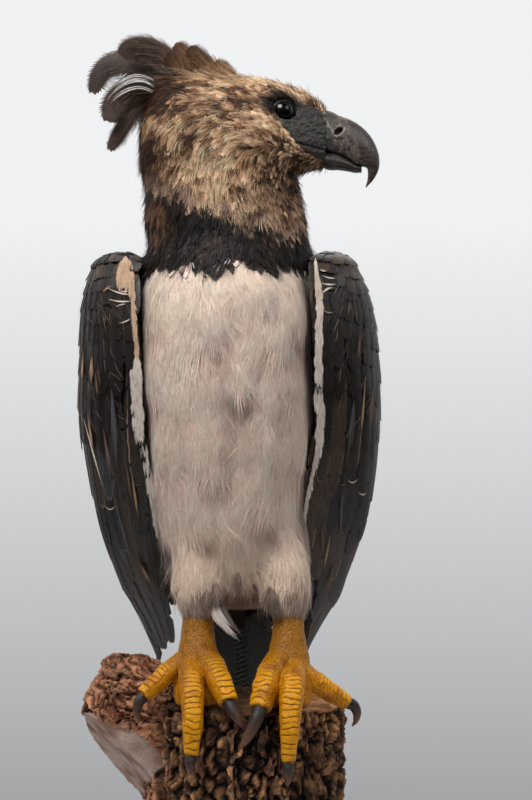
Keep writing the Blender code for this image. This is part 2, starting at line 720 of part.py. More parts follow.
def tail_feather(place, parts):
    """A tail feather. Its place runs from 0 at the middle to 1 at the edge, negative on the right."""
    root, along, upper = tail_frame()
    side = Vector((1, 0, 0))
    reach = TAIL_LENGTH * (1 - 0.045 * place * place)
    t = np.array(TAIL_STATIONS)
    spread = place * (TAIL_ROOT_SPREAD + (TAIL_SPREAD - TAIL_ROOT_SPREAD) * t)
    half_width = TAIL_FEATHER_HALF * np.array(TAIL_WIDTHS)
    sunk = -TAIL_STEP * abs(place) * 5.5
    edge = TAIL_STEP * 0.40 * np.sign(place)
    lines = []
    for across in (-1, 0, 1):
        height = sunk + edge * across * t + (0.0004 if across == 0 else 0)
        lines.append(
            [root + along * (reach * u) + side * (x + across * w) + upper * h
             for u, x, w, h in zip(t, spread, half_width, height)]
        )
    return vane("tail_feather", *lines, [upper] * len(t), VANE_THICKNESS, parts)


def make_tail(parts, plumage):
    """The rump and the tail's coverts as one body, with the tail's feathers set in it."""
    root, along, upper = tail_frame()
    side = Vector((1, 0, 0))
    cosine, sine = ellipse(14, 0.8)
    rings = []
    for reach, half_width, half_depth, shift in TAIL_BASE:
        middle = root + along * reach + upper * shift
        offsets = [side * (half_width * c) + upper * (half_depth * s) for c, s in zip(cosine, sine)]
        rings.append([middle + offset for offset in offsets])
    tail = loft("tail", rings, parts)
    places = [(i - 5.5) / 5.5 for i in range(12)]
    unite(tail, [tail_feather(place, parts) for place in places])
    thin_out(tail, MOST_TRIANGLES["tail"])
    cut(tail, [seat("torso", parts)])
    finish(tail, "tail", plumage["black"])


# Legs
def thigh_body(side, parts):
    heights = np.linspace(THIGH[0][0], THIGH[-1][0], 10)
    rings = []
    for z, (half_width, half_depth, y, outwards) in zip(heights, smooth(THIGH, heights)):
        x = FOOT_X[side] + outwards * MIRROR[side]
        rings.append(level_ring((x, y, PERCH + z), half_width, half_depth, 18))
    return loft("thigh_body", rings, parts)


def tarsus_body(side, parts, grow=0.0, scutes=0):
    """The scaled shank. Its scales stand out in front, each over the next one down."""
    steps, raise_by = scute_steps(scutes) if scutes else (np.linspace(0, 1, 7), [0.0] * 7)
    heights = TARSUS[-1][0] + (TARSUS[0][0] - TARSUS[-1][0]) * steps
    cosine, sine = ellipse(14, 0.9)
    rings = []
    for z, share, (half_width, half_depth, y) in zip(heights, raise_by, smooth(TARSUS, heights)):
        scale = 1 + 0.7 * share * np.maximum(0.0, 0.35 - sine)
        x = FOOT_X[side] + (half_width * scale + grow) * cosine
        place = z - grow if z == heights[-1] else z
        rings.append(np.stack([x, y + (half_depth * scale + grow) * sine, np.full(14, PERCH + place)], 1))
    return loft("tarsus_body", rings, parts)


def curl_side(path):
    """The way across a toe or claw: at right angles to the plane in which it curls down."""
    start, end = (path[1] - path[0]).normalized(), (path[-1] - path[-2]).normalized()
    return (end.cross(start) + 0.25 * start.cross(Vector((0, 0, 1)))).normalized()


def tube(name, path, half_widths, half_heights, raise_by, parts, around=9):
    """A body along a path. Its upper half is raised at each place by the share in raise_by."""
    across = curl_side(path)
    cosine, sine = ellipse(around, 0.9)
    rings = []
    for i, middle in enumerate(path):
        along = (path[min(i + 1, len(path) - 1)] - path[max(i - 1, 0)]).normalized()
        side = (across - along * along.dot(across)).normalized()
        up = side.cross(along)
        ring = []
        for c, s in zip(cosine, sine):
            scale = 1 + raise_by[i] * max(0.0, s + 0.35)
            ring.append(middle + side * (half_widths[i] * c * scale) + up * (half_heights[i] * s * scale))
        rings.append(ring)
    return loft(name, rings, parts)


# Each toe: its path in X, Y and height above the perch, with half width and half height.
TOES = {
    "left": {
        "middle": (
            (0.0450, -0.070, 0.0420, 0.0135, 0.0130),
            (0.0446, -0.092, 0.0325, 0.0130, 0.0122),
            (0.0430, -0.108, 0.0160, 0.0118, 0.0108),
            (0.0418, -0.116, -0.0020, 0.0106, 0.0102),
            (0.0412, -0.118, -0.0180, 0.0092, 0.0094),
            (0.0402, -0.118, -0.0340, 0.0080, 0.0084),
            (0.0396, -0.117, -0.0460, 0.0070, 0.0074),
        ),
        "inner": (
            (0.0310, -0.066, 0.0540, 0.0140, 0.0130),
            (0.0245, -0.078, 0.0450, 0.0138, 0.0128),
            (0.0188, -0.092, 0.0350, 0.0132, 0.0122),
            (0.0142, -0.105, 0.0215, 0.0122, 0.0112),
            (0.0104, -0.114, 0.0080, 0.0108, 0.0100),
        ),
        "outer": (
            (0.0530, -0.064, 0.0400, 0.0122, 0.0118),
            (0.0662, -0.060, 0.0300, 0.0110, 0.0106),
            (0.0797, -0.056, 0.0205, 0.0100, 0.0098),
            (0.0930, -0.051, 0.0110, 0.0090, 0.0088),
            (0.1035, -0.047, 0.0045, 0.0080, 0.0078),
        ),
        "hind": (
            (0.0360, -0.048, 0.0170, 0.0140, 0.0140),
            (0.0340, -0.028, 0.0150, 0.0130, 0.0125),
            (0.0330, -0.010, 0.0130, 0.0120, 0.0115),
            (0.0330, 0.006, 0.0125, 0.0100, 0.0100),
        ),
    },
    "right": {
        "middle": (
            (-0.0632, -0.070, 0.0440, 0.0135, 0.0130),
            (-0.0622, -0.090, 0.0350, 0.0128, 0.0120),
            (-0.0608, -0.106, 0.0175, 0.0118, 0.0108),
            (-0.0600, -0.115, -0.0020, 0.0106, 0.0100),
            (-0.0606, -0.117, -0.0215, 0.0090, 0.0092),
            (-0.0616, -0.117, -0.0390, 0.0074, 0.0078),
        ),
        "inner": (
            (-0.0490, -0.064, 0.0580, 0.0138, 0.0130),
            (-0.0430, -0.074, 0.0500, 0.0134, 0.0126),
            (-0.0362, -0.088, 0.0405, 0.0126, 0.0118),
            (-0.0292, -0.102, 0.0275, 0.0116, 0.0108),
            (-0.0226, -0.112, 0.0140, 0.0100, 0.0094),
        ),
        "outer": (
            (-0.0720, -0.060, 0.0500, 0.0118, 0.0114),
            (-0.0838, -0.066, 0.0425, 0.0108, 0.0104),
            (-0.0938, -0.072, 0.0340, 0.0098, 0.0096),
            (-0.1045, -0.077, 0.0245, 0.0088, 0.0086),
            (-0.1130, -0.080, 0.0165, 0.0080, 0.0078),
        ),
        "hind": (
            (-0.0540, -0.048, 0.0170, 0.0140, 0.0140),
            (-0.0520, -0.028, 0.0150, 0.0130, 0.0125),
            (-0.0510, -0.010, 0.0130, 0.0120, 0.0115),
            (-0.0510, 0.006, 0.0125, 0.0100, 0.0100),
        ),
    },
}
# Each claw: its path in the same frame with its half thickness, from the toe's end to the point.
CLAWS = {
    "left": {
        "middle": (
            (0.0395, -0.1170, -0.0460, 0.0062),
            (0.0392, -0.1210, -0.0545, 0.0056),
            (0.0390, -0.1220, -0.0620, 0.0042),
            (0.0390, -0.1190, -0.0685, 0.0024),
            (0.0390, -0.1140, -0.0720, 0.0006),
        ),
        "inner": (
            (0.0100, -0.1150, 0.0080, 0.0076),
            (0.0062, -0.1230, -0.0020, 0.0070),
            (0.0005, -0.1265, -0.0140, 0.0056),
            (-0.0062, -0.1245, -0.0255, 0.0036),
            (-0.0125, -0.1180, -0.0340, 0.0007),
        ),
        "outer": (
            (0.1030, -0.0470, 0.0045, 0.0062),
            (0.1105, -0.0450, 0.0010, 0.0056),
            (0.1145, -0.0430, -0.0070, 0.0045),
            (0.1135, -0.0410, -0.0160, 0.0028),
            (0.1095, -0.0390, -0.0225, 0.0006),
        ),
        "hind": (
            (0.0330, 0.0060, 0.0125, 0.0080),
            (0.0330, 0.0200, 0.0170, 0.0074),
            (0.0330, 0.0350, 0.0165, 0.0064),
            (0.0330, 0.0480, 0.0110, 0.0046),
            (0.0330, 0.0550, 0.0020, 0.0008),
        ),
    },
    "right": {
        "middle": (
            (-0.0616, -0.1170, -0.0390, 0.0064),
            (-0.0620, -0.1210, -0.0465, 0.0056),
            (-0.0624, -0.1215, -0.0525, 0.0042),
            (-0.0626, -0.1185, -0.0580, 0.0024),
            (-0.0627, -0.1140, -0.0605, 0.0006),
        ),
        "inner": (
            (-0.0226, -0.1120, 0.0140, 0.0070),
            (-0.0180, -0.1190, 0.0060, 0.0062),
            (-0.0130, -0.1215, -0.0010, 0.0048),
            (-0.0085, -0.1200, -0.0080, 0.0030),
            (-0.0058, -0.1150, -0.0130, 0.0007),
        ),
        "outer": (
            (-0.1130, -0.0800, 0.0165, 0.0062),
            (-0.1178, -0.0835, 0.0105, 0.0054),
            (-0.1200, -0.0850, 0.0025, 0.0042),
            (-0.1200, -0.0835, -0.0055, 0.0026),
            (-0.1185, -0.0800, -0.0115, 0.0006),
        ),
        "hind": (
            (-0.0510, 0.0060, 0.0125, 0.0080),
            (-0.0510, 0.0200, 0.0170, 0.0074),
            (-0.0510, 0.0350, 0.0165, 0.0064),
            (-0.0510, 0.0480, 0.0110, 0.0046),
            (-0.0510, 0.0550, 0.0020, 0.0008),
        ),
    },
}


def raised(row):
    """A row's place in the frame of the log's base."""
    return Vector((row[0], row[1], PERCH + row[2]))


def scute_steps(scutes):
    """Places along a toe from 0 to 1 and how far its back is raised there, at each scale's far edge."""
    places, raised_by = [], []
    for i in range(scutes):
        places += [i / scutes, (i + 0.84) / scutes]
        raised_by += [0.0, SCUTE_RISE]
    return np.array(places + [1.0]), raised_by + [0.0]


def toe_body(side, toe, parts, grow=0.0, scutes=0):
    rows = TOES[side][toe]
    numbered = [(i / (len(rows) - 1), *row) for i, row in enumerate(rows)]
    places, raise_by = scute_steps(scutes) if scutes else (np.linspace(0, 1, 7), [0.0] * 7)
    rows = smooth(numbered, places)
    path = [raised(row) for row in rows]
    if grow:
        path[-1] += (path[-1] - path[-2]).normalized() * grow
    return tube("toe_body", path, rows[:, 3] + grow, rows[:, 4] + grow, raise_by, parts)


def claw_body(side, toe, parts, grow=0.0):
    rows = CLAWS[side][toe]
    numbered = [(i / (len(rows) - 1), *row) for i, row in enumerate(rows)]
    rows = smooth(numbered, np.linspace(0, 1, 7))
    path = [raised(row) for row in rows]
    thick = np.maximum(rows[:, 3], 0.0005) + grow
    return tube("claw_body", path, 0.86 * thick, thick, [0.0] * 7, parts, around=8)


def make_leg(side, parts, plumage):
    thigh = thigh_body(side, parts)
    cut(thigh, [seat("torso", parts)])
    finish(thigh, "thigh_" + side, plumage["white"])
    tarsus = tarsus_body(side, parts, scutes=TARSUS_SCUTES)
    cut(tarsus, [seat("thigh_" + side, parts)])
    finish(tarsus, "tarsus_" + side, plumage["skin"])
    earlier = []
    for toe in TOES[side]:
        made = toe_body(side, toe, parts, scutes=SCUTES[toe])
        cutters = [tarsus_body(side, parts, grow=GAP, scutes=TARSUS_SCUTES)]
        cutters += [toe_body(side, name, parts, grow=GAP, scutes=SCUTES[name]) for name in earlier]
        cut(made, cutters)
        finish(made, f"toe_{side}_{toe}", plumage["skin"])
        claw = claw_body(side, toe, parts)
        cut(claw, [toe_body(side, toe, parts, grow=GAP, scutes=SCUTES[toe])])
        finish(claw, f"claw_{side}_{toe}", plumage["claw"])
        earlier.append(toe)


# Crest
def crest_feather(row, parts):
    """One crest feather. Its path runs in X and height, and its face is turned towards its own side."""
    points, y, half_width, turn, splay = row
    points = np.asarray(points, float)
    numbered = np.column_stack([np.linspace(0, 1, len(points)), points])
    t = np.array(CREST_STATIONS)
    track = smooth(numbered, t)
    ways = np.gradient(track, t, axis=0)
    ways /= np.linalg.norm(ways, axis=1, keepdims=True)
    tilt = math.radians(turn)
    reach = half_width * np.array(CREST_WIDTHS)
    flat = math.cos(tilt)
    across = np.column_stack([-ways[:, 1] * flat, np.full(len(t), math.sin(tilt)), ways[:, 0] * flat])
    middle = np.column_stack([track[:, 0], y + splay * t**1.5, PERCH + track[:, 1]])
    along = np.column_stack([ways[:, 0], np.zeros(len(t)), ways[:, 1]])
    faces = np.cross(along, across)
    camber = faces * 0.0015 * np.sin(math.pi * t)[:, None]
    left, right = middle - across * reach[:, None] - camber, middle + across * reach[:, None] - camber
    return vane("crest_feather", left, middle, right, faces, VANE_THICKNESS, parts)


def make_crest(parts, plumage):
    """The crest's feathers on a low bed of their own, which sits on the crown."""
    beds = []
    for x, z, degrees, half_sizes in CREST_BEDS:
        turn = Matrix.Rotation(math.radians(degrees), 4, "Y")
        beds.append(ball("crest", (x, 0, PERCH + z), half_sizes, parts, turn=turn, segments=14, rings=8))
    crest = unite(beds[0], beds[1:] + [crest_feather(row, parts) for row in CREST])
    thin_out(crest, MOST_TRIANGLES["crest"])
    cut(crest, [seat("head", parts)])
    finish(crest, "crest", plumage["brown"])


# Log
def trunk_radius(angle, z):
    """The bark's surface: upright ridges, with low waves up the trunk."""
    ridges = 0.0032 * np.sin(15 * angle + 9 * z) + 0.0022 * np.sin(23 * angle - 14 * z + 1.0)
    flats = 0.0015 * np.sin(2 * angle + 1.2) - 0.005 * np.cos(angle) + 0.002 * np.sin(3 * angle + 30 * z)
    return LOG_RADIUS + ridges + flats


def make_log(parts, wood):
    around = 40
    angle = np.linspace(0, 2 * math.pi, around, endpoint=False)
    rings = []
    for z in (0.0, 0.030, 0.080, 0.130, 0.180, 0.225, 0.262, 0.288, PERCH):
        radius = trunk_radius(angle, z) * (1 if z < PERCH - 0.001 else 0.955)
        height = np.full(around, z)
        if z > 0.25:
            height = height + 0.0025 * np.sin(5 * angle + 0.8)
        rings.append(np.stack([radius * np.cos(angle), radius * np.sin(angle), height], 1))
    log = loft("log", rings, parts)
    limb = limb_body(parts)
    unite(log, [limb])
    thin_out(log, MOST_TRIANGLES["log"])
    cutters = []
    for side in MIRROR:
        cutters.append(tarsus_body(side, parts, grow=2 * GAP, scutes=TARSUS_SCUTES))
        for toe in TOES[side]:
            cutters.append(toe_body(side, toe, parts, grow=2 * GAP, scutes=SCUTES[toe]))
            cutters.append(claw_body(side, toe, parts, grow=2 * GAP))
    cut(log, cutters)
    finish(log, "log", wood)


def limb_body(parts):
    """The stub of a limb that left the trunk on the bird's right, sawn off on the slant below."""
    cosine, sine = ellipse(18, 0.9)
    turn = np.arctan2(sine, cosine)
    rings = []
    for x, top, bottom, y, half_depth in LIMB:
        wave = 1 + 0.035 * np.sin(7 * turn + 40 * x)
        ring_y = y + half_depth * cosine * wave
        ring_z = PERCH + (top + bottom) / 2 + (top - bottom) / 2 * sine * wave
        rings.append(np.stack([np.full(18, x), ring_y, ring_z], 1))
    x, y, z = LIMB_CUT_POINT
    return slice_off(loft("limb", rings, parts), (x, y, PERCH + z), LIMB_CUT_NORMAL)


def main():
    clear_scene()
    parts = bpy.data.collections.new("harpy_eagle")
    bpy.context.scene.collection.children.link(parts)
    plumage = {
        "white": material("white_plumage", (0.78, 0.71, 0.64), 0.9),
        "black": material("black_plumage", (0.035, 0.032, 0.032), 0.6),
        "brown": material("brown_plumage", (0.30, 0.19, 0.12), 0.85),
        "skin": material("scaly_skin", (0.75, 0.36, 0.03), 0.5),
        "claw": material("claw", (0.07, 0.055, 0.05), 0.4),
        "eye": material("eye", (0.01, 0.008, 0.007), 0.05),
    }
    make_head_neck_torso(parts, plumage)
    make_bill(parts, material("bill_horn", (0.07, 0.06, 0.06), 0.45))
    make_crest(parts, plumage)
    make_tail(parts, plumage)
    for side in MIRROR:
        make_leg(side, parts, plumage)
        make_wing(side, parts, plumage)
    make_log(parts, material("bark", (0.11, 0.07, 0.05), 0.95))


main()
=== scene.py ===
"""Looks for a mounted harpy eagle: skin, feathers, bill, eyes, legs, log, light and camera round the frame.

Metres, +Z up. The bird faces -Y and its head faces +X. Heights in the tables are above the perch, and the
tables that are given to metres() are written in tenths of a millimetre.
"""

import itertools
import math

import bmesh
import bpy
import numpy as np
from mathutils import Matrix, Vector
from mathutils.bvhtree import BVHTree
from mathutils.kdtree import KDTree


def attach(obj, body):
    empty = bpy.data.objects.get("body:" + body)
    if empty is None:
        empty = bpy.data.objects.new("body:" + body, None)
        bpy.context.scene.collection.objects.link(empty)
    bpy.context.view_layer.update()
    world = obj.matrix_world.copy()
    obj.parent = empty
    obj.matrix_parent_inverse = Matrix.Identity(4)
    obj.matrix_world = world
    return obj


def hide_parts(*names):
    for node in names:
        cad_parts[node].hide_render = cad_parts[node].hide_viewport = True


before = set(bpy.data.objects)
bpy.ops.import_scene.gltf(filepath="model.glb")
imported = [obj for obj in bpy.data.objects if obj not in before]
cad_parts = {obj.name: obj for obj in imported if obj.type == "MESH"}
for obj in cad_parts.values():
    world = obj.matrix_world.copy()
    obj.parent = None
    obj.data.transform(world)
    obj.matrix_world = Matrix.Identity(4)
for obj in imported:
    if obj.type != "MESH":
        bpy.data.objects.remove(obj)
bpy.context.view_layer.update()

PERCH = 0.300
BODY_X = -0.025
FLESH = ("head", "neck", "torso", "thigh_left", "thigh_right")
MIRROR = {"left": 1, "right": -1}


# Seeds of the parts, and of each wing's parts
SEEDS = {"skin": 1, "scales": 19, "tail": 81, "coverts": 83, "loose": 87, "crest": 91, "barbs": 93}
WING_SEEDS = {
    "left": {"feathers": 61, "lining": 71, "wisps": 75, "marks": 78},
    "right": {"feathers": 67, "lining": 73, "wisps": 77, "marks": 79},
}


# Numbers
def smooth(table, at):
    """Reads a table at other values of its first column, by a Catmull-Rom curve."""
    table = np.asarray(table, float)
    table = table[np.argsort(table[:, 0])]
    keys, rows = table[:, 0], table[:, 1:]
    slopes = np.gradient(rows, keys, axis=0)
    at = np.clip(np.asarray(at, float), keys[0], keys[-1])
    i = np.clip(np.searchsorted(keys, at, side="right") - 1, 0, len(keys) - 2)
    step = (keys[i + 1] - keys[i])[..., None]
    u = (at - keys[i])[..., None] / step
    return (
        rows[i] * (1 + 2 * u) * (1 - u) ** 2
        + slopes[i] * step * u * (1 - u) ** 2
        + rows[i + 1] * u * u * (3 - 2 * u)
        + slopes[i + 1] * step * u * u * (u - 1)
    )


def unit(v):
    return v / np.maximum(np.linalg.norm(v, axis=-1, keepdims=True), 1e-9)


def ease(low, high, x):
    """0 at low, 1 at high, with a soft start and end."""
    t = np.clip((np.asarray(x, float) - low) / (high - low), 0, 1)
    return t * t * (3 - 2 * t)


def bump_at(x, middle, width):
    """1 at the middle, falling off to either side."""
    return np.exp(-(((x - middle) / width) ** 2))


def noise(points, size, seed=0):
    """Smooth random values from -1 to 1 that vary over about that size. The large numbers mix bits."""
    p = np.asarray(points, float) / size + 13.7 * seed
    cell = np.floor(p).astype(np.int64)
    f = p - cell
    f = f * f * (3 - 2 * f)
    total = np.zeros(p.shape[:-1])
    for corner in itertools.product((0, 1), repeat=3):
        c = cell + corner
        mixed = c[..., 0] * 374761393 + c[..., 1] * 668265263 + c[..., 2] * 2147483647 + seed * 974711
        mixed = (mixed ^ (mixed >> 13)) * 1274126177
        mixed = mixed ^ (mixed >> 16)
        weight = np.prod(np.where(corner, f, 1 - f), axis=-1)
        total += weight * ((mixed & 0xFFFF) / 32767.5 - 1)
    return total


GAMMA = 2.2
# Between these every colour of a layer is kept
DARKEST, LIGHTEST = 0.002, 0.95


def srgb(red, green, blue):
    """A colour as seen on a screen, 0 to 255, as linear light."""
    return np.array([red, green, blue], float) ** GAMMA / 255**GAMMA


def metres(table):
    """A table, or a dictionary of tables, that is written in tenths of a millimetre."""
    if isinstance(table, dict):
        return {key: metres(part) for key, part in table.items()}
    return np.array(table) / 10000


def mix1(a, b, share):
    """A blend of single values."""
    return a * (1 - share) + b * share


def mix(a, b, share):
    """A blend of colours, with one share for each."""
    return mix1(a, b, np.asarray(share, float)[..., None])


def varied(colour, count, random, amount):
    """A colour for each feather, a little lighter or darker by chance."""
    return colour * (1 + random.normal(0, amount, count))[:, None]


# Search trees
def tree_of(places):
    tree = KDTree(len(places))
    for i, place in enumerate(places):
        tree.insert(place, i)
    tree.balance()
    return tree


def cells_at(seeds, places):
    """How much nearer each place is to its nearest seed than to the next one, and which seed that is."""
    tree = tree_of(seeds.tolist())
    found = [tree.find_n(place, 2) for place in places.tolist()]
    gaps = np.array([second[2] - first[2] for first, second in found])
    return gaps, np.array([first[1] for first, _ in found])


# Meshes
def mesh_object(name, points, faces, material, uv=None, facing=None, **layers):
    """A mesh from arrays. Layers with four columns become colours and those with three become vectors."""
    points, faces = np.asarray(points, np.float32), np.asarray(faces, np.int32)
    corners = faces.shape[1]
    mesh = bpy.data.meshes.new(name)
    mesh.vertices.add(len(points))
    mesh.vertices.foreach_set("co", points.ravel())
    mesh.loops.add(faces.size)
    mesh.polygons.add(len(faces))
    mesh.polygons.foreach_set("loop_start", np.arange(0, faces.size, corners, dtype=np.int32))
    mesh.polygons.foreach_set("vertices", faces.ravel())
    mesh.update(calc_edges=True)
    if uv is not None:
        layer = mesh.uv_layers.new(name="OFBake")
        layer.uv.foreach_set("vector", np.asarray(uv, np.float32)[faces.ravel()].ravel())
    for key, values in layers.items():
        values = np.asarray(values, np.float32)
        kind, field = ("FLOAT_COLOR", "color") if values.shape[1] == 4 else ("FLOAT_VECTOR", "vector")
        mesh.attributes.new(key, kind, "POINT").data.foreach_set(field, values.ravel())
    mesh.shade_smooth()
    if facing is not None:
        mesh.normals_split_custom_set_from_vertices(facing.reshape(-1, 3))
    mesh.materials.append(material)
    obj = bpy.data.objects.new(name, mesh)
    bpy.context.scene.collection.objects.link(obj)
    return obj


def mesh_arrays(mesh):
    """Points, triangles and normals at the points."""
    points = np.empty(len(mesh.vertices) * 3, np.float32)
    mesh.vertices.foreach_get("co", points)
    normals = np.empty(len(mesh.vertices) * 3, np.float32)
    mesh.vertex_normals.foreach_get("vector", normals)
    mesh.calc_loop_triangles()
    faces = np.empty(len(mesh.loop_triangles) * 3, np.int32)
    mesh.loop_triangles.foreach_get("vertices", faces)
    return points.reshape(-1, 3).astype(float), faces.reshape(-1, 3), normals.reshape(-1, 3).astype(float)


def cross_of(corners):
    """The normal of each triangle, twice as long as its area."""
    return np.cross(corners[:, 1] - corners[:, 0], corners[:, 2] - corners[:, 0])


def evaluated(obj):
    """The mesh of a helper object with its modifiers applied. The helper is removed."""
    bpy.context.view_layer.update()
    graph = bpy.context.evaluated_depsgraph_get()
    mesh = bpy.data.meshes.new_from_object(obj.evaluated_get(graph))
    bpy.data.objects.remove(obj)
    return mesh


def voxels(name, pieces, size, rounds):
    """Fuses closed bodies, given as points and faces, into one even mesh."""
    points, faces, start = [], [], 0
    for some, these in pieces:
        points.append(some)
        faces += [tuple(int(i) + start for i in face) for face in these]
        start += len(some)
    mesh = bpy.data.meshes.new(name)
    mesh.from_pydata(np.concatenate(points).tolist(), [], faces)
    made = bmesh.new()
    made.from_mesh(mesh)
    bmesh.ops.remove_doubles(made, verts=made.verts, dist=2e-6)
    bmesh.ops.recalc_face_normals(made, faces=made.faces)
    made.to_mesh(mesh)
    made.free()
    obj = bpy.data.objects.new(name, mesh)
    bpy.context.scene.collection.objects.link(obj)
    modifier = obj.modifiers.new("voxels", "REMESH")
    modifier.mode = "VOXEL"
    modifier.voxel_size = size
    if rounds:
        modifier = obj.modifiers.new("smooth", "SMOOTH")
        modifier.factor = 0.5
        modifier.iterations = rounds
    return evaluated(obj)


def node_piece(name):
    """Points and faces of a CAD node."""
    points, faces, _ = mesh_arrays(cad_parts[name].data)
    return points, faces


def dress(obj, slot, *nodes):
    """Sets a finished piece on the body's root, and hides the CAD nodes that it stands for."""
    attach(obj, "root")
    if nodes:
        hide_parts(*nodes)


# Materials
class Paint:
    """A short way to write a material's nodes."""

    def __init__(self, name, fixed):
        self.material = bpy.data.materials.new(name)
        self.material.use_nodes = True
        self.tree = self.material.node_tree
        self.shader = self.tree.nodes["Principled BSDF"]
        for key, value in fixed.items():
            self.put(self.shader.inputs[key], value)

    def put(self, socket, value):
        if isinstance(value, bpy.types.NodeSocket):
            self.tree.links.new(value, socket)
        elif socket.type == "RGBA" and len(value) == 3:
            socket.default_value = (*map(float, value), 1)
        else:
            socket.default_value = value

    def node(self, kind, inputs, out=0, **settings):
        made = self.tree.nodes.new("ShaderNode" + kind)
        for key, value in settings.items():
            setattr(made, key, value)
        for key, value in inputs.items():
            self.put(made.inputs[key], value)
        return made.outputs[out]

    def place(self):
        return self.node("TexCoord", {}, out="Object")

    def stretched(self, scale, turn=(0, 0, 0)):
        return self.node("Mapping", {"Vector": self.place(), "Scale": scale, "Rotation": turn})

    def noise(self, scale, detail=3.0, rough=0.55, vector=None):
        inputs = {"Vector": vector or self.place(), "Scale": scale, "Detail": detail, "Roughness": rough}
        return self.node("TexNoise", inputs, out="Fac")

    def cells(self, scale):
        return self.node("TexVoronoi", {"Vector": self.place(), "Scale": scale}, out="Distance")

    def maths(self, operation, a, b=0.0):
        return self.node("Math", {0: a, 1: b}, operation=operation)

    def span(self, value, low, high, to_low=0.0, to_high=1.0):
        inputs = {"Value": value, "From Min": low, "From Max": high, "To Min": to_low, "To Max": to_high}
        return self.node("MapRange", inputs, interpolation_type="SMOOTHSTEP")

    def mix(self, share, a, b):
        return self.node("Mix", {0: share, 6: a, 7: b}, out=2, data_type="RGBA")

    def layer(self, name, out="Color"):
        return self.node("Attribute", {}, out=out, attribute_name=name)

    def parts(self, name):
        """The three values of a vector layer."""
        vector = self.layer(name, out="Vector")
        made = self.tree.nodes.new("ShaderNodeSeparateXYZ")
        self.put(made.inputs[0], vector)
        return made.outputs[0], made.outputs[1], made.outputs[2]

    def relief(self, height, distance, strength):
        return self.node("Bump", {"Height": height, "Distance": distance, "Strength": strength})

    def finish(self, colour=None, roughness=None, normal=None):
        for key, value in (("Base Color", colour), ("Roughness", roughness), ("Normal", normal)):
            if value is not None:
                self.put(self.shader.inputs[key], value)
        return self.material


def feather_paint(name, roughness, edge, sheen=0.0, barbs=34.0, contrast=0.25, relief=0.00025):
    """The layer tint holds each feather's colour and, in its alpha, how strongly its margin shows."""
    paint = Paint(name, {"Specular IOR Level": 0.3, "Sheen Weight": sheen, "Sheen Roughness": 0.5})
    reach, along, chance = paint.parts("vane")
    slanted = paint.maths("SUBTRACT", along, paint.maths("MULTIPLY", reach, 0.22))
    place = paint.node("CombineXYZ", {
        0: paint.maths("MULTIPLY", reach, 1.6),
        1: paint.maths("MULTIPLY", slanted, barbs),
        2: paint.maths("MULTIPLY", chance, 60.0),
    })
    streak = paint.noise(1.0, 3, 0.6, vector=place)
    shadow = paint.span(streak, 0.62, 0.34, 0.0, contrast)
    tint = paint.mix(shadow, paint.layer("tint"), (0, 0, 0))
    margin = paint.maths("MULTIPLY", paint.span(reach, 0.80, 0.92), paint.layer("tint", out="Alpha"))
    colour = paint.mix(margin, tint, edge)
    return paint.finish(colour, roughness, paint.relief(streak, relief, 0.6))


# The breast's soft lobes of feathers: X, height, half width and half height of each
LOBES = metres((
    (-930, 4370, 260, 360), (-460, 4240, 280, 360), (20, 4470, 220, 300), (370, 4310, 240, 380),
    (120, 3990, 260, 320), (-970, 3670, 260, 380), (-590, 3460, 320, 400), (260, 3510, 320, 380),
    (-130, 3600, 150, 260), (-860, 2870, 280, 420), (-430, 2820, 260, 380), (120, 2870, 280, 440),
    (470, 2980, 200, 420), (-970, 2130, 260, 380), (-590, 2180, 320, 360), (50, 2340, 300, 320),
    (420, 2180, 200, 380), (-750, 1590, 320, 360), (-170, 1700, 360, 400), (420, 1590, 280, 360),
    (-580, 3880, 260, 260), (80, 3300, 180, 300), (-170, 2050, 240, 280),
))
LOBE_HEIGHT = 0.0185
LOBE_SPREAD = 1.12
ROUND_RADIUS = 0.095


def round_body(points):
    """How far round the body a point lies, as an arc from the middle of the front, and its height."""
    turn = np.arctan2(points[:, 0] - BODY_X, 0.035 - points[:, 1])
    return turn * ROUND_RADIUS, points[:, 2] - PERCH


def lobe_at(points):
    """For each point: how high the highest lobe stands there, and how far from its middle line it is."""
    arc, height = round_body(points)
    best, aside = np.zeros(len(points)), np.zeros(len(points))
    for x, level, wide, tall in LOBES * (1, 1, LOBE_SPREAD, LOBE_SPREAD):
        middle = ROUND_RADIUS * math.atan2(x - BODY_X, ROUND_RADIUS)
        across, up = (arc - middle) / wide, (height - level) / tall
        rise = np.maximum(0, 1 - across**2) ** 0.8 * np.sqrt(np.maximum(0, 1 - up**2)) * (0.66 - 0.34 * up)
        higher = rise > best
        best, aside = np.where(higher, rise, best), np.where(higher, across, aside)
    front = ease(0.20, 0.13, abs(arc)) * ease(0.08, 0.12, height) * ease(0.490, 0.455, height)
    return best * front, aside * front


# The bare skin of the face in X and height: lower edge, upper edge, and the line of the gape
FACE_LOWER = metres((
    (317, 6290), (400, 6200), (450, 6139), (497, 6080), (541, 6035), (640, 5980), (753, 5930), (829, 5855),
    (900, 5800),
))
FACE_UPPER = metres((
    (317, 6540), (487, 6536), (640, 6512), (753, 6480), (876, 6413),
))
GAPE = metres((
    (497, 6082), (753, 6035), (904, 6006), (1018, 5968), (1094, 5911), (1264, 5855),
))
CERE_RIDGE = metres((
    (753, 6480), (800, 6400), (850, 6300), (895, 6215),
))


def line_gap(points, line):
    """How far points lie from a line of (X, height) places, seen from the side."""
    flat = np.column_stack([points[:, 0], points[:, 2] - PERCH])
    best = np.full(len(points), 1.0)
    for a, b in zip(np.array(line[:-1]), np.array(line[1:])):
        step = b - a
        t = np.clip((flat - a) @ step / (step @ step), 0, 1)
        best = np.minimum(best, np.linalg.norm(flat - a - t[:, None] * step, axis=1))
    return best


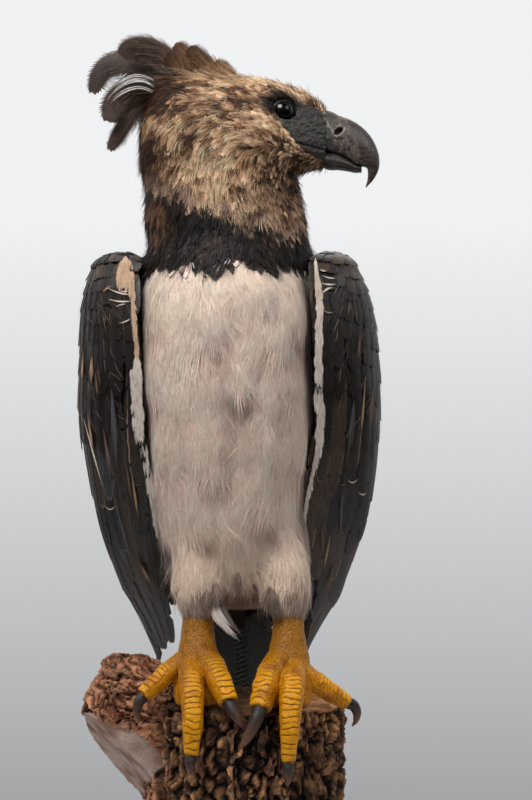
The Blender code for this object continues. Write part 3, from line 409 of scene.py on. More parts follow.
def bare_face(points):
    """1 on the bare skin between the eye and the bill, 0 on the feathered face."""
    x, side, h = points[:, 0], abs(points[:, 1]), points[:, 2] - PERCH
    low, high = np.interp(x, *np.transpose(FACE_LOWER)), np.interp(x, *np.transpose(FACE_UPPER))
    inside = ease(-0.0010, 0.0010, h - low) * ease(-0.0010, 0.0010, high - h)
    inside = inside * ease(-0.0015, 0.0015, x - 0.0325)
    return inside * ease(0.0020, 0.0050, side)


# The eyes' middles in X, to either side and in height, their radius, and the way that they look
EYE = (0.034, 0.0262, 0.6435)
EYE_RADIUS = 0.0145
EYE_WAY = np.array((0.30, 1.0, 0.02)) / math.sqrt(0.30**2 + 1 + 0.02**2)


def eye_gap(points):
    """Distance from the nearer eye's middle."""
    middle = np.array([EYE[0], 0, PERCH + EYE[2]])
    there = points.copy()
    there[:, 1] = abs(there[:, 1]) - EYE[1]
    return np.linalg.norm(there - middle, axis=1)


def coat_depth(points):
    """How far the skin lies under the tips of the coat."""
    h, x = points[:, 2] - PERCH, points[:, 0]
    depth = 0.0095 - 0.0040 * ease(0.50, 0.56, h)
    face = ease(-0.02, 0.07, x) * ease(0.55, 0.58, h)
    depth = depth * (1 - face) + 0.0022 * face
    depth *= 1 - ease(0.030, 0.016, eye_gap(points)) * 0.8
    return depth * (1 - 0.9 * bare_face(points)) + side_fill(points)


# How far the white coat stands out at the bird's sides, where it fills the gap to the wings: height, depth
SIDE_FILL = metres({
    "right": (
        (1100, 20), (1500, 100), (2100, 130), (3300, 70), (4000, 100), (4700, 110),
    ),
    "left": (
        (1100, 20), (2300, 20), (3100, 90), (4000, 100), (4700, 110),
    ),
})


def side_fill(points):
    arc, h = round_body(points)
    depth = np.where(arc < 0, np.interp(h, *np.transpose(SIDE_FILL["right"])),
                     np.interp(h, *np.transpose(SIDE_FILL["left"])))
    aside = ease(0.070, 0.100, abs(arc)) * ease(0.175, 0.140, abs(arc))
    return depth * aside * ease(0.495, 0.470, h) * ease(0.100, 0.130, h)


def refined(mesh, chosen, cuts):
    """Cuts the edges in one region of a mesh smaller."""
    made = bmesh.new()
    made.from_mesh(mesh)
    middles = np.array([sum((v.co for v in edge.verts), Vector()) / 2 for edge in made.edges])
    inside = chosen(middles)
    edges = [edge for edge, keep in zip(list(made.edges), inside) if keep]
    bmesh.ops.subdivide_edges(made, edges=edges, cuts=cuts, smooth=1.0, use_grid_fill=True)
    bmesh.ops.triangulate(made, faces=made.faces)
    made.to_mesh(mesh)
    made.free()


class Surface:
    """A mesh to place feathers on."""

    def __init__(self, points, faces, normals):
        self.points, self.faces, self.normals = points, faces, normals
        self.tree = BVHTree.FromPolygons(points.tolist(), faces.tolist())
        self.uv = None

    def nearest(self, places):
        """The nearest points of the surface, with its smooth normals there."""
        spots, indices = np.empty((len(places), 3)), np.empty(len(places), int)
        for i, place in enumerate(places.tolist()):
            spot, _, index, _ = self.tree.find_nearest(place)
            spots[i], indices[i] = spot, index
        return spots, unit(self.normals[self.faces[indices]].mean(1))

    def scatter(self, spacing, wanted, seed):
        """Roots about that far apart, where wanted() holds. Returns places, normals and UV."""
        random = np.random.default_rng(seed)
        corners = self.points[self.faces]
        area = np.linalg.norm(cross_of(corners), axis=1) / 2
        area = area * wanted(corners.mean(1), unit(self.normals[self.faces].mean(1)))
        count = int(area.sum() / spacing**2 * 3.0)
        chosen = random.choice(len(area), count, p=area / area.sum())
        a, b = random.random(count), random.random(count)
        flip = a + b > 1
        a, b = np.where(flip, 1 - a, a), np.where(flip, 1 - b, b)
        weights = np.stack([1 - a - b, a, b], 1)
        places = (corners[chosen] * weights[..., None]).sum(1)
        kept, cells = [], {}
        keys = np.floor(places / spacing).astype(int)
        around = list(itertools.product((-1, 0, 1), repeat=3))
        for i, (key, place) in enumerate(zip(keys.tolist(), places.tolist())):
            x, y, z = key
            near = (cells.get((x + u, y + v, z + w), ()) for u, v, w in around)
            if all(math.dist(place, other) > spacing * 0.8 for some in near for other in some):
                cells.setdefault((x, y, z), []).append(place)
                kept.append(i)
        kept = np.array(kept)
        normals = unit((self.normals[self.faces[chosen[kept]]] * weights[kept][..., None]).sum(1))
        uv = (self.uv[chosen[kept]] * weights[kept][..., None]).sum(1)
        return places[kept], normals, uv


def unwrap(obj):
    """Unwraps the object's own shape into the UV map OFBake."""
    obj.data.uv_layers.new(name="OFBake")
    bpy.ops.object.select_all(action="DESELECT")
    obj.select_set(True)
    bpy.context.view_layer.objects.active = obj
    bpy.ops.object.mode_set(mode="EDIT")
    bpy.ops.mesh.select_all(action="SELECT")
    bpy.ops.uv.smart_project(angle_limit=math.radians(66), island_margin=0.004)
    bpy.ops.object.mode_set(mode="OBJECT")
    values = np.empty(len(obj.data.loops) * 2, np.float32)
    obj.data.uv_layers["OFBake"].uv.foreach_get("vector", values)
    return values.reshape(-1, 3, 2)


# Sizes of the voxels in which bodies are fused
FLESH_VOXEL = 0.0032
LEG_VOXEL = 0.00095
LOG_VOXEL = 0.0022
# The skin is finer past this X and over this height, where the face and the bill's root are
FINE_SKIN = (0.027, 0.576)
FINE_CUTS = 3


def make_flesh():
    """The skin piece, and the surface that the tips of the coat reach."""
    mesh = voxels("flesh", [node_piece(name) for name in FLESH], FLESH_VOXEL, 6)
    refined(mesh, lambda p: (p[:, 0] > FINE_SKIN[0]) & (p[:, 2] > PERCH + FINE_SKIN[1]), FINE_CUTS)
    points, faces, normals = mesh_arrays(mesh)
    h = points[:, 2] - PERCH
    swell = LOBE_HEIGHT * (lobe_at(points)[0] - 0.25) * ease(0.49, 0.44, h) * ease(0.08, 0.12, h)
    swell = swell + side_fill(points)
    points = points + normals * (swell - 0.0010 * ease(0.57, 0.50, h))[:, None]
    flat = cross_of(points[faces])
    normals = np.zeros_like(points)
    for k in range(3):
        np.add.at(normals, faces[:, k], flat)
    guide = Surface(points, faces, unit(normals))
    bare = bare_face(points)
    creases = 0.0007 * noise(points * (1, 1, 1.5), 0.0042, 51) + 0.0004 * noise(points, 0.0018, 52)
    side = ease(0.003, 0.006, abs(points[:, 1]))
    gape = bump_at(line_gap(points, GAPE), 0, 0.0011) * side
    ridge = bump_at(line_gap(points, CERE_RIDGE), 0, 0.0010) * side
    tucked = 0.0016 * ease(0.0660, 0.0860, points[:, 0]) * bare
    socket = 0.0035 * ease(0.0185, 0.0150, eye_gap(points))
    height = bare * creases - 0.0022 * gape + 0.0011 * ridge - tucked - socket
    inner = points + guide.normals * (height - coat_depth(points))[:, None]
    tint = skin_tint(points, guide.normals)
    # Painted shade: the gape's crease is painted near black.
    tint = mix(tint, srgb(12, 11, 11), np.clip(gape * 1.1, 0, 1) * ease(0.04, 0.05, points[:, 0]))
    tint = mix(tint, srgb(136, 124, 108), ridge * 0.6)
    skin = mesh_object("skin", inner, faces, skin_paint(), tint=np.column_stack([tint, bare]))
    guide.uv = unwrap(skin)
    dress(skin, "white_plumage", *FLESH)
    return guide


# Colours of the coat
WHITE = srgb(255, 222, 205)
CREAM = srgb(236, 205, 176)
BLACK = srgb(35, 28, 26)
WORN = (srgb(44, 42, 39), srgb(74, 71, 66))
BROWN = srgb(66, 44, 33)
TAN = srgb(184, 139, 102)
PALE = srgb(248, 205, 164)
SLATE = srgb(64, 61, 57)


def make_paints():
    """The feathers' materials: edge colour, gloss, and how strongly the barbs show."""
    return {
        "white": feather_paint("white_feathers", 0.9, WHITE, sheen=0.15, contrast=0.16, relief=0.00012),
        "black": feather_paint("black_feathers", 0.6, srgb(120, 92, 68), contrast=0.4),
        "brown": feather_paint("brown_feathers", 0.75, PALE, contrast=0.3),
        "crest": feather_paint("crest_feathers", 0.55, srgb(160, 132, 108), barbs=70.0, contrast=0.6),
        "wing": feather_paint("wing_feathers", 0.46, srgb(150, 122, 98), barbs=60.0, contrast=0.75),
        "tail": feather_paint("tail_feathers", 0.50, srgb(150, 150, 140), barbs=120.0, contrast=0.35),
        "core": feather_paint("wing_core", 0.8, BLACK),
    }


def skin_paint():
    paint = Paint("skin", {"Specular IOR Level": 0.45})
    bare = paint.layer("tint", out="Alpha")
    creases = paint.noise(330, 4, 0.65)
    pits = paint.cells(620)
    worn = paint.mix(paint.span(creases, 0.38, 0.62), *WORN)
    colour = paint.mix(0.55, paint.layer("tint"), worn)
    colour = paint.mix(bare, paint.layer("tint"), colour)
    height = paint.maths("ADD", creases, paint.maths("MULTIPLY", pits, 0.4))
    return paint.finish(colour, paint.span(creases, 0.3, 0.7, 0.40, 0.62), paint.relief(height, 0.0006, 0.8))


def neck_edge(points):
    """How far a point lies above the line where the brown of the head gives way to the black neck."""
    h, x = points[:, 2] - PERCH, points[:, 0]
    line = np.interp(x, (-0.12, -0.08, -0.02, 0.03, 0.06), (0.578, 0.566, 0.540, 0.522, 0.520))
    line = np.where(points[:, 1] < 0.0, line, 0.572)
    return h - line - 0.010 * noise(points, 0.014, 5)


def breast_edge(points):
    """How far a point lies above the ragged line where the black neck gives way to the white breast."""
    h = points[:, 2] - PERCH
    arc, _ = round_body(points)
    return h - 0.484 - 0.004 * np.sin(arc * 150) - 0.006 * noise(points, 0.020, 8)


# Soft patches on the head: X, height, half sizes, and how much lighter or darker the feathers are there
# The broad light patch over the crown is partly paler feathers and partly painted light from above.
HEAD_PATCHES = (
    (-0.01, 0.596, 0.026, 0.013, 0.55), (-0.055, 0.596, 0.022, 0.01, 0.35),
    (-0.1, 0.612, 0.022, 0.016, 0.1), (0.01, 0.682, 0.05, 0.012, 0.75), (0.066, 0.664, 0.022, 0.008, 0.45),
    (0.04, 0.597, 0.016, 0.006, 0.3), (-0.01, 0.633, 0.04, 0.007, 0.35),
    (-0.005, 0.667, 0.02, 0.006, -0.75), (-0.065, 0.664, 0.014, 0.007, -0.75),
    (-0.012, 0.651, 0.024, 0.004, -0.5), (-0.04, 0.62, 0.02, 0.004, -0.6), (0.016, 0.64, 0.01, 0.008, -0.6),
    (-0.112, 0.6, 0.026, 0.052, -1.0), (-0.088, 0.674, 0.03, 0.016, -1.0),
    (-0.075, 0.565, 0.03, 0.01, -0.4), (-0.088, 0.662, 0.02, 0.012, -0.7),
    (0.034, 0.558, 0.026, 0.026, -0.45), (0.046, 0.58, 0.016, 0.01, -0.2),
)


def behind(points, normals):
    """1 on the black back, 0 on the white front and flanks."""
    return ease(0.25, 0.45, normals[:, 1]) * (points[:, 1] > 0.03) * ease(0.11, 0.14, points[:, 2] - PERCH)


def head_tint(points, random):
    """Brown, tan and pale feathers in soft patches, dark round the eyes and behind them, and lighter over the
    crown, partly as painted light from above.
    """
    x, h = points[:, 0], points[:, 2] - PERCH
    streaks = 0.80 * noise(points * (1, 1, 1.8), 0.016, 11) + 0.70 * noise(points * (1, 1, 2.2), 0.007, 12)
    # Lighter over the top of the head: partly paler feathers, partly painted light from above.
    light = 0.54 + streaks + random.normal(0, 0.30, len(points)) + 0.22 * ease(0.655, 0.675, h)
    for middle, level, wide, tall, amount in HEAD_PATCHES:
        light += amount * np.exp(-(((x - middle) / wide) ** 2) - ((h - level) / tall) ** 2)
    light = np.clip(light, 0, 1.15)
    colour = mix(mix(BROWN, TAN, np.clip(light * 2, 0, 1)), PALE, np.clip(light * 2 - 1, 0, 1))
    golden = ease(0.660, 0.675, h) * 0.30
    colour = mix(colour, colour * (1.06, 0.98, 0.80), golden)
    chin = bump_at(h, 0.583, 0.012) * ease(0.045, 0.062, x)
    colour = mix(colour, srgb(122, 98, 54), 0.55 * chin)
    throat = np.exp(-(((x - 0.030) / 0.032) ** 2) - ((h - 0.562) / 0.020) ** 2)
    colour = mix(colour, srgb(70, 54, 44), 0.55 * throat)
    dark = ease(0.027, 0.018, eye_gap(points))
    return mix(colour, srgb(30, 25, 22), dark)


def coat_tint(points, normals, random):
    """The colour of each feather of the coat, by where its root is, with painted shade between and round the
    breast's lobes.
    """
    n = len(points)
    h = points[:, 2] - PERCH
    rise, _ = lobe_at(points - (0, 0, 0.022))
    lower = 0.05 + 0.65 * ease(0.26, 0.10, h) + 0.30 * np.clip(noise(points, 0.045, 21), 0, 1)
    white = mix(WHITE, CREAM, np.clip(lower, 0, 1))
    # Painted shade: greyer in the hollows between the breast's lobes, and darker away from each lobe's top.
    painted_hollow_shade = np.clip(1.0 - 2.8 * rise, 0, 1) ** 1.5 * ease(0.47, 0.44, h)
    white = mix(white, srgb(140, 120, 110), 0.70 * painted_hollow_shade)
    white = mix(white, srgb(150, 132, 122), 0.42 * ease(0.62, 0.05, rise) * ease(0.47, 0.44, h))
    white = varied(white, n, random, 0.03)
    streak = np.clip(noise(points, 0.022, 31) + random.normal(0, 0.30, n) - 0.30, 0, 1)
    black = varied(mix(BLACK, srgb(120, 90, 68), streak), n, random, 0.16)
    x = points[:, 0]
    rusty = np.exp(-(((x + 0.103) / 0.014) ** 2) - ((h - 0.540) / 0.020) ** 2) * (points[:, 1] < 0.03)
    black = mix(black, srgb(158, 112, 78), 0.8 * rusty * (random.random(n) < 0.8))
    colour = mix(white, black, (breast_edge(points) > 0) | (behind(points, normals) > 0.5))
    bib = ease(0.024, 0.0, neck_edge(points)) * (points[:, 1] < 0.02)
    brown = mix(head_tint(points, random), srgb(214, 178, 154), 0.50 * bib)
    return mix(colour, brown, neck_edge(points) > 0)


def skin_tint(points, normals):
    random = np.random.default_rng(SEEDS["skin"])
    white = ease(0.004, -0.004, breast_edge(points)) * (1 - behind(points, normals))
    # The skin takes the coat's colours, darkened as painted shade in the gaps between the feathers.
    tint = coat_tint(points, normals, random) * (0.62 + 0.26 * white)[:, None]
    tint = mix(tint, srgb(24, 22, 22), ease(0.024, 0.017, eye_gap(points)))
    h = points[:, 2] - PERCH
    slate = mix(SLATE, srgb(28, 26, 25), ease(0.022, 0.038, h - 0.605))
    slate = mix(slate, srgb(56, 50, 44), ease(0.602, 0.596, h))
    slate = mix(slate, srgb(24, 22, 22), ease(0.024, 0.016, eye_gap(points)))
    # Painted shade: skin that faces down under the belly is painted near black.
    under = ease(-0.25, -0.55, normals[:, 2]) * ease(0.150, 0.135, h)
    return mix(mix(tint, slate, bare_face(points)), srgb(30, 27, 26), under)


# How the head's feathers lie: X, height, and the way in X and height
HEAD_FLOW = (
    (0.088, 0.65, -0.7, 0.55), (0.06, 0.666, -0.92, 0.36), (0.02, 0.682, -1.0, 0.06),
    (-0.03, 0.68, -1.0, 0.06), (-0.07, 0.672, -0.9, 0.3), (0.066, 0.585, -0.85, 0.1),
    (0.045, 0.6, -0.78, 0.55), (0.022, 0.618, -0.82, 0.52), (-0.005, 0.64, -0.98, 0.18),
    (-0.045, 0.64, -0.98, -0.12), (-0.09, 0.64, -0.85, -0.5), (0.0, 0.61, -0.95, -0.05),
    (-0.045, 0.612, -0.75, -0.62), (0.03, 0.585, -0.6, -0.7), (-0.005, 0.585, -0.35, -0.93),
    (-0.06, 0.585, -0.45, -0.88), (0.05, 0.56, -0.15, -0.98), (-0.02, 0.555, -0.1, -0.99),
    (-0.1, 0.59, -0.45, -0.88), (-0.12, 0.64, -0.3, -0.95),
)


# Lie of the coat
def flow(points):
    """The way the coat lies: back from the bill, over the crown and down the neck and body."""
    x, h = points[:, 0], points[:, 2] - PERCH
    head = np.zeros_like(points)
    for middle, level, back, up in HEAD_FLOW:
        weight = 1 / (((x - middle) ** 2 + (h - level) ** 2) / 0.018**2 + 0.05) ** 2
        head += weight[:, None] * (back, 0.0, up)
    down = np.broadcast_to((0.0, 0.0, -1.0), points.shape)
    return unit(mix(unit(head), down, ease(0.575, 0.540, h)))


def lay(guide, roots, lengths, turns, steps, curl=0.0):
    """Paths over the surface from the roots, with the surface's normals along them."""
    path = np.empty((len(roots), steps + 1, 3))
    ups = np.empty_like(path)
    place = roots.copy()
    _, normals = guide.nearest(place)
    for k in range(steps + 1):
        path[:, k], ups[:, k] = place, normals
        if k == steps:
            break
        way = flow(place)
        way = unit(way - normals * (way * normals).sum(1, keepdims=True))
        angle = (turns + curl * k / steps)[:, None]
        way = way * np.cos(angle) + np.cross(normals, way) * np.sin(angle)
        ahead = place + way * (lengths / steps)[:, None]
        spots, fresh = guide.nearest(ahead)
        hanging = (fresh[:, 2] < -0.35)[:, None]
        place = np.where(hanging, ahead, spots)
        normals = np.where(hanging, normals, fresh)
    return path, ups


def sides_of(path, ups):
    ways = unit(np.gradient(path, axis=1))
    return unit(np.cross(ups, ways))


def along(values, t):
    """Reads values (feather, station, 3) at places t (feather, point) from 0 to 1 and a little past it."""
    last = values.shape[1] - 1
    x = np.maximum(t, 0) * last
    i = np.minimum(x.astype(int), last - 1)
    rows = np.arange(len(values))[:, None]
    f = (x - i)[..., None]
    return values[rows, i] * (1 - f) + values[rows, i + 1] * f


# Share of the length and of the half width along a vane, and along a loose barb
ROUND = ((0, 0.30), (0.15, 0.72), (0.45, 1.0), (0.75, 0.92), (0.92, 0.62), (1.0, 0.30))
LONG = ((0, 0.45), (0.20, 0.80), (0.55, 1.0), (0.85, 0.90), (0.95, 0.62), (1.0, 0.25))
POINTED = ((0, 0.35), (0.20, 0.80), (0.50, 1.0), (0.78, 0.72), (0.92, 0.40), (1.0, 0.12))
BARB_SHAPE = ((0.0, 0.7), (0.45, 1.0), (0.8, 0.7), (1.0, 0.0))
# A closed vane is split between these barbs
SPLIT_EVERY = 9
SPLIT_AT = 6
# Shares of a vane's half width that its unparted inner side takes, and of its length that its shaft takes
INNER_VANE = 0.56
SHAFT_END = 0.985
# A number for each feather that spreads evenly between 0 and 1
GOLDEN = 0.618
# Stations along a loose barb: fine near its tip, plain where few will do, smooth where it is seen alone
FINE = (0.0, 0.45, 0.8, 1.0)
PLAIN = (0.0, 0.55, 1.0)
SMOOTH = (0.0, 0.12, 0.25, 0.38, 0.5, 0.62, 0.75, 0.88, 1.0)


def vanes(place, widths, shape, barbs, slant, ragged, random, closed=False):
    """Feathers with a shaft and barbs that part at their ends, or stay together if closed.

    place(t, a) gives the points at t along and a across, -1 to 1, of every feather at once.
    """
    n = len(widths)
    shape = np.asarray(shape)

    def profile(t):
        return np.interp(t, shape[:, 0], shape[:, 1])

    edges = np.tile(np.linspace(0, SHAFT_END, barbs + 1), (n, 1))
    points, across, run = [place(edges, np.zeros_like(edges))], [np.zeros_like(edges)], [edges]
    tone = [np.ones_like(edges)]
    for side in (-1, 1):
        inner = edges + 0.5 * slant * (1 - 0.85 * edges)
        inner_a = np.full_like(inner, INNER_VANE) * side * profile(inner)
        middle = (edges[:, 1:] + edges[:, :-1]) / 2
        outer = middle + slant * (1 - 0.85 * middle) + random.normal(0, 0.22 * ragged / barbs, middle.shape)
        torn = 1 + ragged * random.uniform(-0.35, 0.10, middle.shape)
        outer_a = side * profile(np.minimum(outer, 1)) * torn
        points += [place(inner, inner_a), place(outer, outer_a)]
        across += [np.full_like(inner, INNER_VANE * side), np.full_like(outer, side)]
        run += [inner, outer]
        tone += [np.ones_like(inner), 1 + random.normal(0, 0.07, outer.shape)]
    one = barbs + 1
    left, left_tip = one, 2 * one
    right, right_tip = 2 * one + barbs, 3 * one + barbs
    faces = []
    for i in range(barbs):
        a, b, c, d = left + i, left_tip + i, right + i, right_tip + i
        faces += [(i, i + 1, a + 1), (i, a + 1, a), (a, a + 1, b)]
        faces += [(i + 1, i, c), (i + 1, c, c + 1), (c + 1, c, d)]
        if closed and i + 1 < barbs and i % SPLIT_EVERY != SPLIT_AT:
            faces += [(a + 1, b + 1, b), (c + 1, d, d + 1)]
    join = (np.concatenate(part, 1) for part in (run, across, tone))
    return np.concatenate(points, 1), np.array(faces), *join


def blades(place, n, count, random, spread=1.0, thick=0.00045, uneven=0.16, stations=FINE):
    """Loose tufts: each feather is a fan of thin tapered barbs, read at the stations."""
    t = np.array(stations)
    wide = np.interp(t, *np.transpose(BARB_SHAPE)) * thick
    offset = np.linspace(-1, 1, count) * spread + random.normal(0, 0.16, (n, count))
    length = 1 - 0.28 * abs(offset) + random.uniform(-0.12, 0.08, (n, count))
    tone = np.repeat(1 + random.normal(0, uneven, (n, count)), len(t), axis=1)
    run = (t[None, None] * length[..., None]).reshape(n, -1)
    fan = (offset[..., None] * t[None, None] ** 0.8).reshape(n, -1)
    half = np.tile(wide, (n, count)).reshape(n, -1)
    left, right = place(run, fan, -half), place(run, fan, half)
    faces, size, last = [], count * len(t), len(t) - 2
    for j in range(count):
        a = j * len(t)
        for k in range(last):
            faces += [(a + k, a + k + 1, size + a + k + 1), (a + k, size + a + k + 1, size + a + k)]
        faces.append((a + last, a + last + 1, size + a + last))
    points = np.concatenate([left, right], 1)
    return points, np.array(faces), np.tile(run, (1, 2)), np.tile(fan, (1, 2)), np.tile(tone, (1, 2))


def gather(name, made, tint, uv, material, margin=0.0, patch=0.003, shade=None, facing=None):
    """One mesh of many feathers. tint is a colour for each feather, uv the place of its patch."""
    points, faces, run, across, tone = made
    n, size = points.shape[:2]
    reach = np.maximum(abs(across), ease(0.90, 1.0, run))
    every = (np.arange(n)[:, None, None] * size + faces[None]).reshape(-1, 3)
    if facing is not None:
        flat = cross_of(points.reshape(-1, 3)[every])
        wrong = (flat * facing.reshape(-1, 3)[every].sum(1)).sum(1) < 0
        every[wrong] = every[wrong][:, ::-1]
    colour = tint[:, None] * tone[..., None]
    if shade is not None:
        colour = colour * shade(run, reach)[..., None]
    colour = np.clip(colour, DARKEST, LIGHTEST)
    margin = np.asarray(margin, float)
    alpha = np.broadcast_to(margin if margin.ndim == 2 else margin.reshape(-1, 1), (n, size))
    layer = np.concatenate([colour, alpha[..., None]], 2).reshape(-1, 4)
    chance = np.broadcast_to((np.arange(n) * GOLDEN % 1)[:, None], (n, size))
    vane = np.stack([reach, run, chance], 2).reshape(-1, 3)
    patch = np.broadcast_to(patch, (2,))
    spot = (uv[:, None] + np.stack([reach, run], 2) * patch).reshape(-1, 2)
    points = points.reshape(-1, 3)
    return mesh_object(name, points, every, material, uv=spot, facing=facing, tint=layer, vane=vane)


def atlas(count):
    """A square cell of the UV map for each of the big feathers, so that their markings stay apart."""
    rows = math.ceil(math.sqrt(count))
    index = np.arange(count)
    return np.stack([index % rows, index // rows], 1) / rows + 0.1 / rows, 0.8 / rows


def set_feathers(name, made, tint, paint, slot, *nodes, **options):
    """Gathers feathers that have a cell each on the UV map, and sets them on the body."""
    uv, cell = atlas(len(tint))
    dress(gather(name, made, tint, uv, paint, patch=cell, **options), slot, *nodes)


# How far the feathers turn away from the middle line of the lobe under them
PARTING = 0.55


def facing_of(path, ups, made, roundness):
    """Normals that follow the surface under the feathers, so that they shade as one soft coat."""
    _, _, run, across, _ = made
    return unit(along(ups, run) + along(sides_of(path, ups), run) * (across * roundness)[..., None])


def over(path, ups, widths, camber):
    """A place function for feathers that lie along paths."""
    sides = sides_of(path, ups)

    def place(t, a, shift=0.0):
        across = (a * widths[:, None])[..., None]
        drop = (camber * a * a * widths[:, None])[..., None]
        side = along(sides, t)
        moved = along(path, t) + side * across - along(ups, t) * drop
        return moved + side * np.asarray(shift)[..., None] if np.ndim(shift) else moved

    return place


def raised(path, ups, depth, lift):
    """Moves the paths from their roots in the skin to tips that lie flat on the surface."""
    t = np.linspace(0, 1, path.shape[1])[None, :, None]
    depth, lift = np.asarray(depth)[:, None, None], np.asarray(lift)[:, None, None]
    return path + ups * (-depth * (1 - t) ** 3 + lift * t**1.3)


def coat_vanes(name, guide, spacing, wanted, seed, length, width, shape, barbs, material, slot, lift,
               ragged=0.8, steps=4, margin=0.0, painted_root_shade=0.72, closed=False, roundness=0.35):
    """Vaned feathers over a part of the body."""
    random = np.random.default_rng(seed)
    roots, normals, uv = guide.scatter(spacing, wanted, seed)
    n = len(roots)
    lengths = length(roots) * random.uniform(0.80, 1.18, n)
    widths = width(roots) * random.uniform(0.80, 1.15, n)
    _, aside = lobe_at(roots)
    turns = random.normal(0, 0.16, n) + PARTING * aside
    path, ups = lay(guide, roots, lengths, turns, steps)
    path = raised(path, ups, coat_depth(roots), np.abs(random.normal(lift, lift * 0.7, n)))
    made = vanes(over(path, ups, widths, 0.25), widths, shape, barbs, 0.22, ragged, random, closed)
    tint = coat_tint(roots, normals, random)
    # Each feather darkens towards its root: painted shade where the feathers overlap.
    obj = gather(name, made, tint, uv, material, margin=margin, facing=facing_of(path, ups, made, roundness),
                 shade=lambda run, reach: painted_root_shade + (1.02 - painted_root_shade) * ease(0.0, 0.7, run))
    dress(obj, slot)


def coat_blades(name, guide, spacing, wanted, seed, length, width, count, material, slot, lift=0.002,
                wobble=0.22, thick=0.00045, bright=1.0, curl=0.0, painted_root_shade=0.45, uneven=0.16, swirl=0.30,
                roundness=0.35, stations=FINE):
    """Loose tufts over a part of the body."""
    random = np.random.default_rng(seed)
    roots, normals, uv = guide.scatter(spacing, wanted, seed)
    n = len(roots)
    lengths = length(roots) * random.uniform(0.75, 1.15, n)
    widths = width(roots) * random.uniform(0.8, 1.2, n)
    _, aside = lobe_at(roots)
    turns = random.normal(0, wobble, n) + PARTING * aside + swirl * noise(roots, 0.018, seed)
    path, ups = lay(guide, roots, lengths, turns, 3, curl)
    path = raised(path, ups, coat_depth(roots) * 0.8, np.abs(random.normal(lift, lift * 0.8, n)))
    place = over(path, ups, widths, 0.2)
    made = blades(place, n, count, random, thick=thick, uneven=uneven, stations=stations)
    tint = coat_tint(roots, normals, random) * bright
    # Each tuft darkens towards its root: painted shade where the strands overlap.
    obj = gather(name, made, tint, uv, material, facing=facing_of(path, ups, made, roundness),
                 shade=lambda run, reach: painted_root_shade + (1.15 - painted_root_shade) * ease(0.05, 0.9, run))
    dress(obj, slot)


